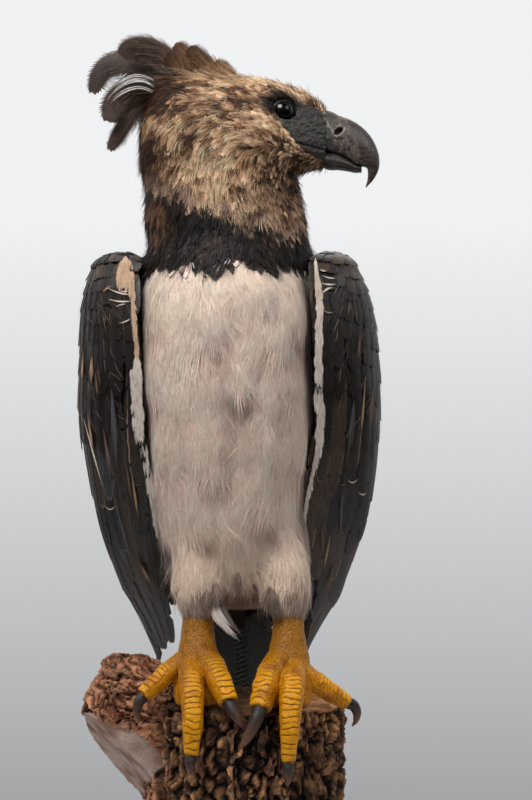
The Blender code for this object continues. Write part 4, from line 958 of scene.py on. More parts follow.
def make_coat(guide, paints):
    def head(p, n):
        return (neck_edge(p) > -0.002) & (bare_face(p) < 0.4) & (eye_gap(p) > 0.0165) & (p[:, 0] < 0.084)

    def neck(p, n):
        return (neck_edge(p) < 0.006) & (breast_edge(p) > 0)

    def front(p, n):
        return (breast_edge(p) < 0) & (behind(p, n) < 0.5)

    def back(p, n):
        return (breast_edge(p) < 0) & (behind(p, n) >= 0.5)

    def upper(p, n):
        return front(p, n) & (p[:, 2] > PERCH + 0.27)

    def lower(p, n):
        return front(p, n) & (p[:, 2] <= PERCH + 0.27)

    def face(p, n):
        return head(p, n) & (p[:, 0] > -0.035)

    def nape(p, n):
        return head(p, n) & (p[:, 0] <= -0.035)

    def flank(p, n):
        arc, h = round_body(p)
        return lower(p, n) & (arc < -0.100) & (h > 0.125) & (h < 0.210)

    def crown(p, n):
        return head(p, n) & (p[:, 2] > PERCH + 0.664) & (p[:, 0] < 0.0) & (abs(p[:, 1]) < 0.024)

    def head_length(p):
        x, h = p[:, 0], p[:, 2] - PERCH
        front_of = ease(-0.03, 0.06, x)
        return 0.026 * (1 - front_of) + 0.0095 * front_of + 0.008 * ease(0.58, 0.53, h)

    def body_length(p):
        h = p[:, 2] - PERCH
        return 0.046 + 0.006 * ease(0.45, 0.25, h) - 0.038 * ease(0.150, 0.100, h)

    def of_size(value):
        return lambda p: np.full(len(p), value)

    def strand_length(p):
        return body_length(p) * 0.95

    white = {"material": paints["white"], "slot": "white_plumage", "painted_root_shade": 0.90}
    soft = {"count": 8, "thick": 0.00042, "uneven": 0.06, "roundness": 0.04, "wobble": 0.14, "swirl": 0.6,
            "lift": 0.0004, "stations": PLAIN}
    coat_blades("coat_breast", guide, 0.0044, upper, 41, body_length, of_size(0.0070), **soft, **white)
    coat_blades("coat_belly", guide, 0.0044, lower, 42, body_length, of_size(0.0070), **soft, **white)
    white["painted_root_shade"] = 0.96
    strands = {"count": 8, "thick": 0.00020, "uneven": 0.14, "roundness": 0.04, "wobble": 0.18, "swirl": 0.8,
               "stations": PLAIN}
    coat_blades("down_breast", guide, 0.0034, upper, 43, strand_length, of_size(0.0060),
                lift=0.0008, curl=0.20, **strands, **white)
    coat_blades("down_belly", guide, 0.0034, lower, 44, strand_length, of_size(0.0060),
                lift=0.0010, curl=0.20, **strands, **white)
    white["painted_root_shade"] = 0.6
    coat_blades("flank_strands", guide, 0.0060, flank, 54, of_size(0.085), of_size(0.0080), 7, lift=0.0050,
                thick=0.00028, uneven=0.22, bright=0.62, **white)
    black = {"material": paints["black"], "slot": "black_plumage"}
    coat_vanes("coat_neck", guide, 0.0052, neck, 45, of_size(0.026), of_size(0.0062), POINTED, 9,
               lift=0.0010, roundness=0.4, **black)
    coat_blades("coat_neck_over", guide, 0.0037, neck, 49, of_size(0.027), of_size(0.0050), 7,
                lift=0.0034, thick=0.00036, uneven=0.40, painted_root_shade=0.4, **black)
    coat_vanes("coat_back", guide, 0.0074, back, 46, of_size(0.046), of_size(0.0125), ROUND, 11,
               lift=0.0020, ragged=0.5, margin=0.5, closed=True, **black)
    brown = {"material": paints["brown"], "slot": "brown_plumage"}
    fur = {"count": 8, "lift": 0.0026, "curl": 0.45, "thick": 0.00021, "painted_root_shade": 0.20, "uneven": 0.42,
           "wobble": 0.12, **brown}
    coat_vanes("coat_head_under", guide, 0.0044, head, 47, head_length, lambda p: head_length(p) * 0.25,
               POINTED, 6, lift=0.0006, steps=3, painted_root_shade=0.26, **brown)
    coat_blades("coat_face", guide, 0.0030, face, 48, head_length, lambda p: head_length(p) * 0.20, **fur)
    coat_blades("coat_crown", guide, 0.0040, crown, 53, of_size(0.042), of_size(0.006), 8, lift=0.0100,
                curl=-0.2, thick=0.00022, painted_root_shade=0.25, uneven=0.40, wobble=0.18, **brown)
    coat_blades("coat_head", guide, 0.0031, nape, 50, head_length, lambda p: head_length(p) * 0.20, **fur)


def outward(place, raised_place, made):
    """Normals of feathers on the wing: the way from each point to the same point a little higher."""
    _, _, run, across, _ = made
    return unit(raised_place(run, across) - place(run, across))


# Wings
WING = metres((
    (4970, 1280, 1120, -120, 900, 400, 80), (4900, 1400, 1040, -320, 700, 680, 150),
    (4675, 1520, 1010, -520, 450, 940, 200), (4290, 1620, 1000, -640, 260, 1140, 250),
    (3740, 1670, 970, -660, 160, 1270, 300), (3080, 1670, 950, -520, 120, 1380, 380),
    (2420, 1610, 930, -300, 120, 1480, 520), (1705, 1470, 880, 100, 140, 1580, 740),
    (1210, 1270, 840, 550, 200, 1720, 1040), (715, 1000, 760, 1100, 320, 1900, 1450),
    (270, 820, 700, 1600, 480, 2050, 1800),
))
WING_BOXINESS = 0.75
# How far each wing's surface stands further out than the table says: height, shift, shift at the front edge
WING_SHIFT = metres({
    "left": (
        (270, 50, 30), (600, 90, 50), (1000, 100, 40), (1250, 50, 0), (1500, 30, -40), (2100, 30, -40),
        (2700, 30, 10), (3300, 20, 20), (4000, 0, 0), (4500, -20, -10), (4700, -50, -20), (4970, -40, -20),
    ),
    "right": (
        (270, 60, -60), (600, 60, -70), (1000, 30, -70), (1400, -30, -50), (2000, -45, -30),
        (2450, -30, -20), (3000, 0, 0), (4000, 0, 0), (4350, 30, 10), (4700, 30, 10), (4970, 20, 10),
    ),
})
# Tiers of the wing: feathers, first and last s, heights of the roots in front and behind, heights of the
# tips in front and behind, half width, how far the middle tips hang lower, share of the margin
TIERS = (
    (10, 0.02, 0.7, 0.27, 0.26, 0.06, 0.028, 0.0085, 0.012, 0.45),
    (13, 0.0, 0.92, 0.3, 0.28, 0.12, 0.074, 0.0105, 0.006, 0.55),
    (13, 0.03, 0.93, 0.345, 0.32, 0.175, 0.12, 0.0105, 0.004, 0.65),
    (14, 0.02, 0.93, 0.385, 0.36, 0.235, 0.18, 0.0105, 0.004, 0.75),
    (15, 0.02, 0.93, 0.41, 0.395, 0.29, 0.24, 0.01, 0.004, 0.8),
    (16, 0.02, 0.93, 0.43, 0.42, 0.335, 0.29, 0.0095, 0.003, 0.8),
    (18, 0.01, 0.92, 0.448, 0.438, 0.368, 0.335, 0.009, 0.002, 0.75),
    (18, 0.01, 0.92, 0.46, 0.45, 0.394, 0.37, 0.0085, 0.002, 0.7),
    (18, 0.01, 0.92, 0.472, 0.462, 0.415, 0.398, 0.0085, 0.002, 0.7),
    (17, 0.01, 0.92, 0.48, 0.47, 0.434, 0.42, 0.0085, 0.001, 0.65),
    (17, 0.0, 0.9, 0.488, 0.478, 0.45, 0.44, 0.0085, 0.001, 0.6),
    (15, 0.0, 0.88, 0.494, 0.486, 0.465, 0.456, 0.0085, 0.0, 0.5),
    (14, -0.02, 0.85, 0.4965, 0.492, 0.479, 0.472, 0.009, 0.0, 0.4),
)


def wing_outline(s, z):
    """X from the body's middle and Y of the wing's outer surface, s running from the front edge back."""
    widest, front_x, front_y, back_x, back_y, middle_y = np.moveaxis(smooth(WING, z), -1, 0)
    first = np.arcsin((front_x / widest) ** (1 / WING_BOXINESS))
    last = math.pi - np.arcsin((back_x / widest) ** (1 / WING_BOXINESS))
    angle = first + s * (last - first)
    x = widest * np.abs(np.sin(angle)) ** WING_BOXINESS
    before = (middle_y - front_y) / np.cos(first)
    rear = (middle_y - back_y) / np.cos(last)
    y = middle_y - np.where(angle < math.pi / 2, before, rear) * np.cos(angle)
    return x, y


def wing_point(s, z, lift, side):
    """A point at that lift over the wing's outer surface."""
    s, z, lift = np.broadcast_arrays(*(np.asarray(a, float) for a in (s, z, lift)))
    small = 1e-3

    def place(s, z):
        x, y = wing_outline(s, z)
        return np.stack([x, y, z], -1)

    here = place(s, z)
    backward = place(s + small, z) - place(s - small, z)
    upward = place(s, z + small) - place(s, z - small)
    normal = unit(np.cross(backward, upward))
    point = here + normal * lift[..., None]
    outer, front = np.moveaxis(smooth(WING_SHIFT[side], z), -1, 0)
    share = np.clip(s / 0.45, 0, 1)
    point[..., 0] += front + (outer - front) * share * share * (3 - 2 * share)
    point[..., 0] = BODY_X + MIRROR[side] * point[..., 0]
    point[..., 2] += PERCH
    return point


def wing_width(s, z):
    """Metres round the wing for each unit of s."""
    x0, y0 = wing_outline(np.clip(s - 0.02, 0, 1), z)
    x1, y1 = wing_outline(np.clip(s + 0.02, 0, 1), z)
    return np.hypot(x1 - x0, y1 - y0) / (np.clip(s + 0.02, 0, 1) - np.clip(s - 0.02, 0, 1))


def wing_feathers(tiers, random):
    """Root and tip places (s, z), half widths and margins of the feathers of every tier."""
    rows = []
    for number, (count, first, last, root_f, root_b, tip_f, tip_b, half, hang, margin) in enumerate(tiers):
        uneven = 0.10 * (root_f - tip_f)
        for f in np.linspace(0, 1, count):
            s = first + (last - first) * f + random.uniform(-0.010, 0.010)
            root = root_f + (root_b - root_f) * f
            tip = tip_f + (tip_b - tip_f) * f - hang * math.sin(math.pi * f) + random.uniform(-uneven, uneven)
            bend = random.uniform(-0.018, 0.018)
            shows = margin * random.choice((0.1, 0.5, 1.0, 1.3))
            rows.append((s, root, s + bend, tip, half * random.uniform(0.85, 1.15), shows, number))
    return np.array(rows)


# Heights between which the wing's surface is read, for the feathers and for what lies over them
FEATHER_HEIGHTS = (0.0275, 0.4965)
OVER_HEIGHTS = (0.03, 0.4965)


def make_wing(side, paints):
    random = np.random.default_rng(WING_SEEDS[side]["feathers"])
    table = wing_feathers(TIERS, random)
    s0, z0, s1, z1, half, margin, _ = table.T
    n = len(table)
    lift = random.uniform(-0.0008, 0.0010, n)

    def place(t, a):
        s = s0[:, None] + (s1 - s0)[:, None] * t**1.5
        z = z0[:, None] + (z1 - z0)[:, None] * t
        z_read = np.clip(z, *FEATHER_HEIGHTS)
        across = a * half[:, None] / wing_width(np.clip(s, 0, 1), z_read)
        high = -0.0045 * (1 - np.minimum(t, 1)) + lift[:, None] + 0.0011 * a - 0.0009 * a * a + 0.0006
        point = wing_point(np.clip(s + across, -0.04, 1.02), z_read, high, side)
        point[..., 2] += z - z_read
        return point

    made = vanes(place, half, LONG, 30, 0.060, 0.30, random, closed=True)
    tint = varied(srgb(58, 52, 49), n, random, 0.24)
    kind = random.random(n)
    tint = np.where((kind < 0.35)[:, None], srgb(80, 65, 54), tint)
    # Some feathers are painted grey for the sheen on the dark plumage: painted sheen.
    tint = np.where((kind > 0.88)[:, None], srgb(72, 72, 74), tint)
    smooth_patch = (s0 < 0.30) & (z0 > 0.40) & (z0 < 0.485)
    tint = np.where(smooth_patch[:, None], srgb(42, 36, 34), tint)
    one_edge = np.where(made[3] * random.choice((-1, 1), n)[:, None] > 0, 1.0, 0.15)
    broken = np.sin(made[2] * random.uniform(5, 14, n)[:, None] + random.uniform(0, 6, n)[:, None])
    shows = np.clip(margin[:, None] * one_edge * np.clip(0.35 + 0.9 * broken, 0, 1), 0, 1)
    shows = np.where(smooth_patch[:, None], 0.25 * shows, shows)
    streaky = made[:4] + (made[4] * (1 + 0.9 * np.clip(made[3] * broken, 0, 1) * (abs(made[3]) > 0.7)),)
    set_feathers("wing_feathers_" + side, streaky, tint, paints["wing"], "black_plumage", margin=shows)
    set_feathers("wing_shafts_" + side, shafts(place, n), tint * 1.3, paints["wing"], "black_plumage")
    make_wing_core(side, paints)
    make_wing_lining(side, paints)
    make_wisps(side, paints)
    make_wing_marks(side, paints)


def shafts(place, n, stations=9, half=0.035):
    """Raised shafts down the middle of the big feathers."""
    t = np.tile(np.linspace(0.05, 0.96, stations), (n, 1))
    taper = half * (1 - 0.8 * t)
    left, middle, right = place(t, -taper), place(t, 0 * t), place(t, taper)
    ridge = unit(np.cross(right - left, np.gradient(middle, axis=1)))
    middle = middle + ridge * 0.0006
    points = np.concatenate([left, middle, right], 1)
    faces = []
    for k in range(stations - 1):
        for a, b in ((0, stations), (stations, 2 * stations)):
            faces += [(a + k, a + k + 1, b + k + 1), (a + k, b + k + 1, b + k)]
    run = np.tile(t, (1, 3))
    return points, np.array(faces), run, 0 * run, 0 * run + 1


# Height and depth of the wing's flesh, and how far its outer side lies under the feathers' surface
CORE_DEPTH = ((0.11, 0.004), (0.27, 0.012), (0.33, 0.022), (0.43, 0.026), (0.47, 0.018), (0.49, 0.006))
CORE_UNDER = 0.0052


def make_wing_core(side, paints):
    """The wing's flesh under the feathers: a closed crescent that follows the body's side."""
    heights = np.concatenate([np.linspace(0.112, 0.462, 40), [0.472, 0.480, 0.486, 0.490]])
    s = np.linspace(0, 1, 40)
    depth = np.interp(heights, *np.transpose(CORE_DEPTH))
    rings = []
    for z, thick in zip(heights, depth):
        taper = 0.30 + 0.70 * np.sin(math.pi * (0.06 + 0.88 * s)) ** 0.6
        outer = wing_point(s, z, -CORE_UNDER, side)
        inner = wing_point(s, z, -CORE_UNDER - thick * taper, side)
        outer[:, 2] = inner[:, 2] = PERCH + z
        rings.append(np.concatenate([outer, inner[::-1]]))
    points, faces = loft(np.array(rings))
    obj = mesh_object("wing_core_" + side, points, faces, paints["core"])
    dress(obj, "black_plumage", "wing_" + side)


def loft(rings):
    """Points and triangles of a closed body through rings."""
    count, around = rings.shape[:2]
    i, j = np.meshgrid(np.arange(count - 1), np.arange(around), indexing="ij")
    k = (j + 1) % around
    a, b, c, d = i * around + j, i * around + k, (i + 1) * around + k, (i + 1) * around + j
    faces = np.stack([np.stack([a, c, b], -1), np.stack([a, d, c], -1)], 2).reshape(-1, 3)
    points = rings.reshape(-1, 3)
    ends = []
    for ring, first in ((rings[0], 0), (rings[-1], (count - 1) * around)):
        index = len(points)
        points = np.vstack([points, ring.mean(0)])
        for j in range(around):
            pair = (first + j, first + (j + 1) % around)
            ends.append((index, *pair) if first == 0 else (index, pair[1], pair[0]))
    return points, np.vstack([faces, ends])


# Each wing's pale front edge: height, and where it starts and ends in s
LINING = metres({
    "right": (
        (1950, -260, -260), (2350, -260, -180), (2620, -220, -120), (2900, -140, 0), (3000, -120, 140),
        (3660, -120, 160), (3800, -40, -10), (4560, -40, -10), (4630, -40, 450), (4760, -20, 800),
        (4820, 200, 600), (4860, 400, 400),
    ),
    "left": (
        (1950, -100, -100), (2550, -40, -40), (2760, 0, 60), (2900, 20, 180), (3280, 20, 180),
        (3360, -60, 80), (4400, -90, 40), (4620, -140, -20), (4740, -160, -140), (4800, -160, -160),
    ),
})
# Heights between which the pale edge is spotted with black
SPOTTED = {"right": (0.240, 0.332), "left": (0.338, 0.358)}


def make_wing_lining(side, paints):
    """The pale downy strip along the wing's front edge, spotted with black lower down."""
    random = np.random.default_rng(WING_SEEDS[side]["lining"])
    heights, starts, ends = np.transpose(LINING[side])
    n = 1500
    z0 = random.uniform(0.195, 0.4865, n)
    start, end = np.interp(z0, heights, starts), np.interp(z0, heights, ends)
    kept = random.uniform(-0.006, 0.034, n) < end - start
    z0, start, end = z0[kept], start[kept], end[kept]
    n = len(z0)
    s0 = start + (end - start) * random.uniform(0, 1, n)
    length = random.uniform(0.010, 0.020, n)
    half = random.uniform(0.0014, 0.0022, n)
    lift = random.uniform(0.0002, 0.0012, n)
    swing = random.normal(0, 0.004, n)

    def place(t, a, shift=0.0, above=0.0):
        s = s0[:, None] + swing[:, None] * t
        z = np.clip(z0[:, None] - length[:, None] * t, *OVER_HEIGHTS)
        across = (a * half[:, None] + shift) / wing_width(np.clip(s, 0, 1), z)
        return wing_point(np.clip(s + across, -0.10, 1), z, lift[:, None] * (0.3 + t) + above, side)

    tan = ease(0.380, 0.392, z0) if side == "right" else 0.30 * ease(0.43, 0.45, z0)
    cream = mix(srgb(246, 226, 212), srgb(210, 176, 146), tan)
    tint = varied(cream, n, random, 0.11)
    low, high = SPOTTED[side]
    spot = (noise(np.stack([s0 * 0.2, z0, z0 * 0], 1), 0.0060, 3) > 0.30) & (z0 < high) & (z0 > low)
    tint = np.where(spot[:, None], srgb(40, 34, 31), tint)
    made = vanes(place, half, POINTED, 6, 0.18, 0.8, random)
    down = blades(lambda t, a, shift=0.0: place(t * 1.1, a * 1.1, shift, 0.0004), n, 5, random, thick=0.00018,
                  uneven=0.16, stations=PLAIN)
    for name, pieces in (("wing_lining_", made), ("wing_down_", down)):
        facing = outward(place, lambda t, a: place(t, a, above=0.001), pieces)
        # The pale feathers darken towards their roots: painted shade where they overlap.
        set_feathers(name + side, pieces, tint, paints["white"], "white_plumage", facing=facing,
                     shade=lambda run, reach: 0.84 + 0.22 * ease(0.0, 0.8, run))


# Marks on the front of each wing: X and height of both ends, half width, how much the middle sags, and tone
MARKS = {
    "right": (
        (-0.152, 0.45, -0.124, 0.442, 0.0007, -0.002, 0), (-0.14, 0.447, -0.128, 0.446, 0.0006, -0.001, 0),
        (-0.151, 0.438, -0.123, 0.436, 0.0007, -0.002, 0), (-0.143, 0.429, -0.131, 0.432, 0.0005, 0.001, 0),
        (-0.139, 0.412, -0.126, 0.417, 0.0006, -0.001, 0), (-0.158, 0.446, -0.147, 0.452, 0.0006, 0.001, 1),
        (-0.181, 0.38, -0.183, 0.348, 0.0012, 0.0, 1), (-0.17, 0.378, -0.171, 0.346, 0.0022, 0.0, 1),
        (-0.166, 0.362, -0.164, 0.332, 0.0012, 0.0, 2), (-0.181, 0.31, -0.16, 0.232, 0.0009, 0.0, 0),
        (-0.176, 0.314, -0.17, 0.268, 0.0014, 0.0, 1), (-0.148, 0.342, -0.144, 0.252, 0.004, 0.0, 3),
        (-0.158, 0.3, -0.151, 0.246, 0.0022, 0.0, 2), (-0.161, 0.216, -0.146, 0.217, 0.0006, -0.006, 0),
        (-0.128, 0.25, -0.122, 0.2, 0.0014, 0.0, 1), (-0.134, 0.262, -0.128, 0.214, 0.001, 0.0, 2),
        (-0.122, 0.148, -0.112, 0.122, 0.0022, 0.0, 1), (-0.128, 0.16, -0.112, 0.112, 0.001, 0.0, 2),
        (-0.146, 0.15, -0.12, 0.082, 0.0012, 0.0, 2), (-0.15, 0.232, -0.128, 0.13, 0.0012, 0.0, 3),
    ),
    "left": (
        (0.072, 0.47, 0.081, 0.467, 0.0006, -0.001, 0), (0.076, 0.462, 0.09, 0.46, 0.0007, -0.001, 0),
        (0.075, 0.454, 0.091, 0.454, 0.0007, -0.001, 0), (0.074, 0.442, 0.087, 0.45, 0.0012, 0.002, 0),
        (0.076, 0.426, 0.088, 0.424, 0.0006, -0.002, 1), (0.122, 0.356, 0.118, 0.288, 0.0013, 0.0, 1),
        (0.131, 0.344, 0.128, 0.296, 0.0026, 0.0, 2), (0.116, 0.404, 0.114, 0.372, 0.0018, 0.0, 2),
        (0.104, 0.244, 0.116, 0.245, 0.0007, -0.004, 0), (0.116, 0.23, 0.127, 0.23, 0.0007, -0.004, 0),
        (0.096, 0.24, 0.102, 0.24, 0.0005, -0.002, 1), (0.077, 0.192, 0.079, 0.16, 0.0014, 0.0, 2),
        (0.086, 0.182, 0.08, 0.138, 0.0012, 0.0, 1), (0.099, 0.236, 0.097, 0.172, 0.001, 0.0, 3),
        (0.11, 0.33, 0.104, 0.262, 0.0034, 0.0, 3), (0.094, 0.15, 0.082, 0.11, 0.0014, 0.0, 2),
    ),
}
# Tones of the marks: cream, buff, brown, and grey, which is painted sheen along dark feathers.
MARK_TONES = np.array([srgb(236, 216, 196), srgb(176, 138, 106), srgb(112, 86, 68), srgb(92, 90, 92)])


def front_s(x, z, side):
    """Where on the front of the wing, in s, the surface has this X at this height."""
    x, z = np.broadcast_arrays(x, z)
    s = np.linspace(0, 0.5, 50)
    tracks = wing_point(s, z.reshape(-1, 1), 0.0, side)[..., 0] * MIRROR[side]
    tracks = np.maximum.accumulate(tracks + s * 1e-6, axis=1)
    found = [np.interp(value, track, s) for value, track in zip(x.ravel() * MIRROR[side], tracks)]
    return np.reshape(found, x.shape)


def make_wing_marks(side, paints):
    """The cream arcs, the buff streaks and the long grey streaks of painted sheen that show on the front of
    the wing.
    """
    random = np.random.default_rng(WING_SEEDS[side]["marks"])
    rows = np.array(MARKS[side])
    x0, z0, x1, z1, half, sag, tone = rows.T
    length = np.hypot(x1 - x0, z1 - z0)
    n = len(rows)

    def place(t, a, shift=0.0, above=0.0):
        aside = a * half[:, None] + shift
        x = x0[:, None] + (x1 - x0)[:, None] * t + ((z0 - z1) / length)[:, None] * aside
        z = z0[:, None] + (z1 - z0)[:, None] * t + ((x1 - x0) / length)[:, None] * aside
        z = np.clip(z + sag[:, None] * 4 * t * (1 - t), *OVER_HEIGHTS)
        return wing_point(front_s(x, z, side), z, 0.0030 + above, side)

    made = blades(place, n, 14, random, thick=0.00022, uneven=0.10, stations=SMOOTH)
    facing = outward(place, lambda t, a: place(t, a, above=0.001), made)
    set_feathers("wing_marks_" + side, made, MARK_TONES[tone.astype(int)], paints["white"], "white_plumage",
                 facing=facing, shade=lambda run, reach: 0.60 + 0.40 * bump_at(run, 0.5, 0.35))


# Bent loose feathers that hang between the legs: X, Y and height along each, and half width
LOOSE_FEATHERS = (
    (((-0.038, -0.052, 0.13), (-0.036, -0.062, 0.106), (-0.026, -0.066, 0.088), (-0.013, -0.064, 0.074)),
     0.005),
    (((-0.032, -0.052, 0.126), (-0.03, -0.06, 0.108), (-0.021, -0.062, 0.092), (-0.009, -0.06, 0.078)),
     0.0036),
    (((-0.042, -0.052, 0.132), (-0.042, -0.062, 0.112), (-0.037, -0.066, 0.097), (-0.03, -0.066, 0.086)),
     0.003),
)
# The soft brown-grey down under the belly, between the legs: reach in X, and heights of roots and tips
VENT = (-0.030, 0.010, 0.124, 0.096)


def make_loose_feathers(guide, paints):
    random = np.random.default_rng(SEEDS["loose"])
    stations = np.linspace(0, 1, 9)
    path, widths = [], []
    for points, half in LOOSE_FEATHERS:
        points = np.asarray(points)
        track = smooth(np.column_stack([np.linspace(0, 1, len(points)), points]), stations)
        path.append(track + (0, 0, PERCH))
        widths.append(half)
    path, widths = np.array(path), np.array(widths)
    ways = unit(np.gradient(path, axis=1))
    front = np.broadcast_to((0.25, -1.0, 0.15), path.shape)
    ups = unit(front - ways * (front * ways).sum(-1, keepdims=True))
    place = over(path, ups, widths, 0.1)
    tint = np.array([srgb(198, 183, 176), srgb(96, 86, 82), srgb(206, 188, 174)])
    loose = blades(place, len(widths), 90, random, thick=0.00022, uneven=0.25, stations=SMOOTH)
    set_feathers("loose_feathers", loose, tint, paints["white"], "white_plumage")
    left, right, high, low = VENT
    n = 90
    x = random.uniform(left, right, n)
    roots = np.column_stack([x, np.full(n, -0.09), PERCH + high + random.normal(0, 0.003, n)])
    roots = guide.nearest(roots)[0]
    drop = (high - low) * random.uniform(0.75, 1.1, n)
    ways = np.stack([random.normal(0, 0.004, n), random.normal(-0.002, 0.003, n), -drop], 1)
    path = roots[:, None] + stations[None, :, None] * ways[:, None]
    path[..., 1] -= 0.004 * np.sin(stations * math.pi)
    ups = np.broadcast_to((0.0, -1.0, 0.0), path.shape)
    place = over(path, ups, np.full(n, 0.0040), 0.1)
    tint = srgb(124, 106, 95) * random.uniform(0.7, 1.25, n)[:, None]
    down = blades(place, n, 9, random, thick=0.00022, uneven=0.25)
    set_feathers("vent_down", down, tint, paints["white"], "white_plumage")


def make_wisps(side, paints):
    """Fine pale barbs that stray over the wing's feathers."""
    random = np.random.default_rng(WING_SEEDS[side]["wisps"])
    n = 110
    z0, s0 = random.uniform(0.30, 0.46, n), random.uniform(0.06, 0.45, n)
    length = random.uniform(0.008, 0.026, n)
    slope = random.uniform(-0.060, -0.010, n)
    bend = random.normal(0, 0.03, n)
    lift = random.uniform(0.0012, 0.0030, n)

    def place(t, a, shift=0.0):
        s = s0[:, None] + slope[:, None] * t + bend[:, None] * t * (1 - t) + 0 * a
        z = z0[:, None] - length[:, None] * t
        across = shift / wing_width(np.clip(s, 0, 1), z)
        return wing_point(np.clip(s + across, 0, 1), z, lift[:, None] + 0 * t, side)

    made = blades(place, n, 1, random, thick=0.00020, uneven=0.2)
    tint = mix(srgb(110, 88, 70), srgb(190, 166, 144), random.random(n) ** 2)
    set_feathers("wing_wisps_" + side, made, tint, paints["white"], "white_plumage")


# Tail
TAIL_ROOT = (-0.012, 0.100, 0.172)
TAIL_LENGTH = 0.405
TAIL_LEAN = math.radians(19)


def make_tail(paints):
    random = np.random.default_rng(SEEDS["tail"])
    along_tail = np.array((0, math.sin(TAIL_LEAN), -math.cos(TAIL_LEAN)))
    upper = np.array((0, math.cos(TAIL_LEAN), math.sin(TAIL_LEAN)))
    across = np.array((1.0, 0, 0))
    root = np.array((TAIL_ROOT[0], TAIL_ROOT[1], PERCH + TAIL_ROOT[2]))
    order = (np.arange(12) - 5.5) / 5.5
    lengths = TAIL_LENGTH * (1 - 0.045 * order**2)
    n = len(order)
    half = np.full(n, 0.0262)

    def place(t, a):
        spread = order[:, None] * (0.014 + 0.020 * t)
        x = spread + a * half[:, None]
        stacked = -0.0015 * 5.5 * abs(order[:, None] + 0.16)
        high = stacked + 0.0006 * a * np.sign(order[:, None]) * t - 0.0012 * a * a
        return (root + along_tail * (lengths[:, None] * t)[..., None]
                + across * x[..., None] + upper * high[..., None])

    made = vanes(place, half, LONG, 60, 0.035, 0.18, random)
    tint = varied(srgb(76, 80, 76), n, random, 0.05)
    set_feathers("tail_feathers", made, tint, paints["tail"], "black_plumage", "tail", margin=0.4)
    set_feathers("tail_shafts", shafts(place, n, 14, 0.05), tint * 0.6, paints["wing"], "black_plumage")
    make_tail_coverts(paints, root, along_tail, upper, across)


def make_tail_coverts(paints, root, ways, upper, across):
    """The rump's feathers, which hide the roots of the tail above and below."""
    random = np.random.default_rng(SEEDS["coverts"])
    n = 260
    turn = random.uniform(0, 2 * math.pi, n)
    start = random.uniform(-0.060, 0.075, n)
    length = random.uniform(0.035, 0.055, n)
    half = random.uniform(0.009, 0.012, n)

    def place(t, a):
        reach = start[:, None] + length[:, None] * t
        wide = np.interp(reach, (-0.075, -0.03, 0.01, 0.06, 0.13), (0.026, 0.042, 0.046, 0.041, 0.040))
        deep = np.interp(reach, (-0.075, -0.03, 0.01, 0.06, 0.13), (0.030, 0.034, 0.027, 0.018, 0.008))
        angle = turn[:, None] + a * half[:, None] / wide
        lift = 1 + (0.0015 + 0.002 * t) / deep
        x, high = wide * np.cos(angle), deep * np.sin(angle) * lift - 0.004
        return (root + ways * reach[..., None] + across * x[..., None] + upper * high[..., None])

    made = vanes(place, half, ROUND, 12, 0.16, 0.5, random)
    tint = varied(srgb(40, 37, 38), n, random, 0.12)
    set_feathers("tail_coverts", made, tint, paints["wing"], "black_plumage", margin=0.5)


# Crest
CREST = (
    (((-0.067, 0.673), (-0.08, 0.697), (-0.098, 0.712), (-0.116, 0.7175), (-0.133, 0.716), (-0.144, 0.7055)),
     -0.012, 0.012, 12, -0.006),
    (((-0.088, 0.671), (-0.111, 0.69), (-0.135, 0.703), (-0.155, 0.704), (-0.169, 0.691), (-0.1765, 0.668)),
     0.004, 0.0115, -8, 0.004),
    (((-0.08, 0.672), (-0.106, 0.698), (-0.132, 0.711), (-0.15, 0.707), (-0.163, 0.692)),
     0.012, 0.011, -14, 0.01),
    (((-0.096, 0.666), (-0.118, 0.673), (-0.138, 0.669), (-0.152, 0.655), (-0.157, 0.632)),
     -0.018, 0.012, 14, -0.01),
    (((-0.1, 0.662), (-0.115, 0.659), (-0.131, 0.645), (-0.144, 0.626), (-0.156, 0.603)),
     -0.008, 0.0085, 8, -0.004),
    (((-0.096, 0.664), (-0.128, 0.672), (-0.149, 0.66), (-0.157, 0.64)),
     0.018, 0.0115, -16, 0.012),
    (((-0.05, 0.68), (-0.062, 0.699), (-0.074, 0.711), (-0.085, 0.719)),
     -0.003, 0.009, 8, -0.002),
    (((-0.04, 0.681), (-0.05, 0.697), (-0.06, 0.707), (-0.068, 0.715)),
     -0.011, 0.0085, 12, -0.004),
    (((-0.03, 0.682), (-0.04, 0.694), (-0.049, 0.702), (-0.057, 0.708)),
     0.006, 0.008, -8, 0.002),
    (((-0.016, 0.682), (-0.026, 0.69), (-0.034, 0.695), (-0.041, 0.698)),
     -0.006, 0.0075, 10, -0.002),
    (((-0.062, 0.68), (-0.07, 0.697), (-0.078, 0.707), (-0.088, 0.711)),
     0.01, 0.009, -12, 0.004),
    (((-0.072, 0.676), (-0.079, 0.692), (-0.086, 0.701), (-0.093, 0.705)),
     -0.015, 0.0085, 14, -0.004),
)


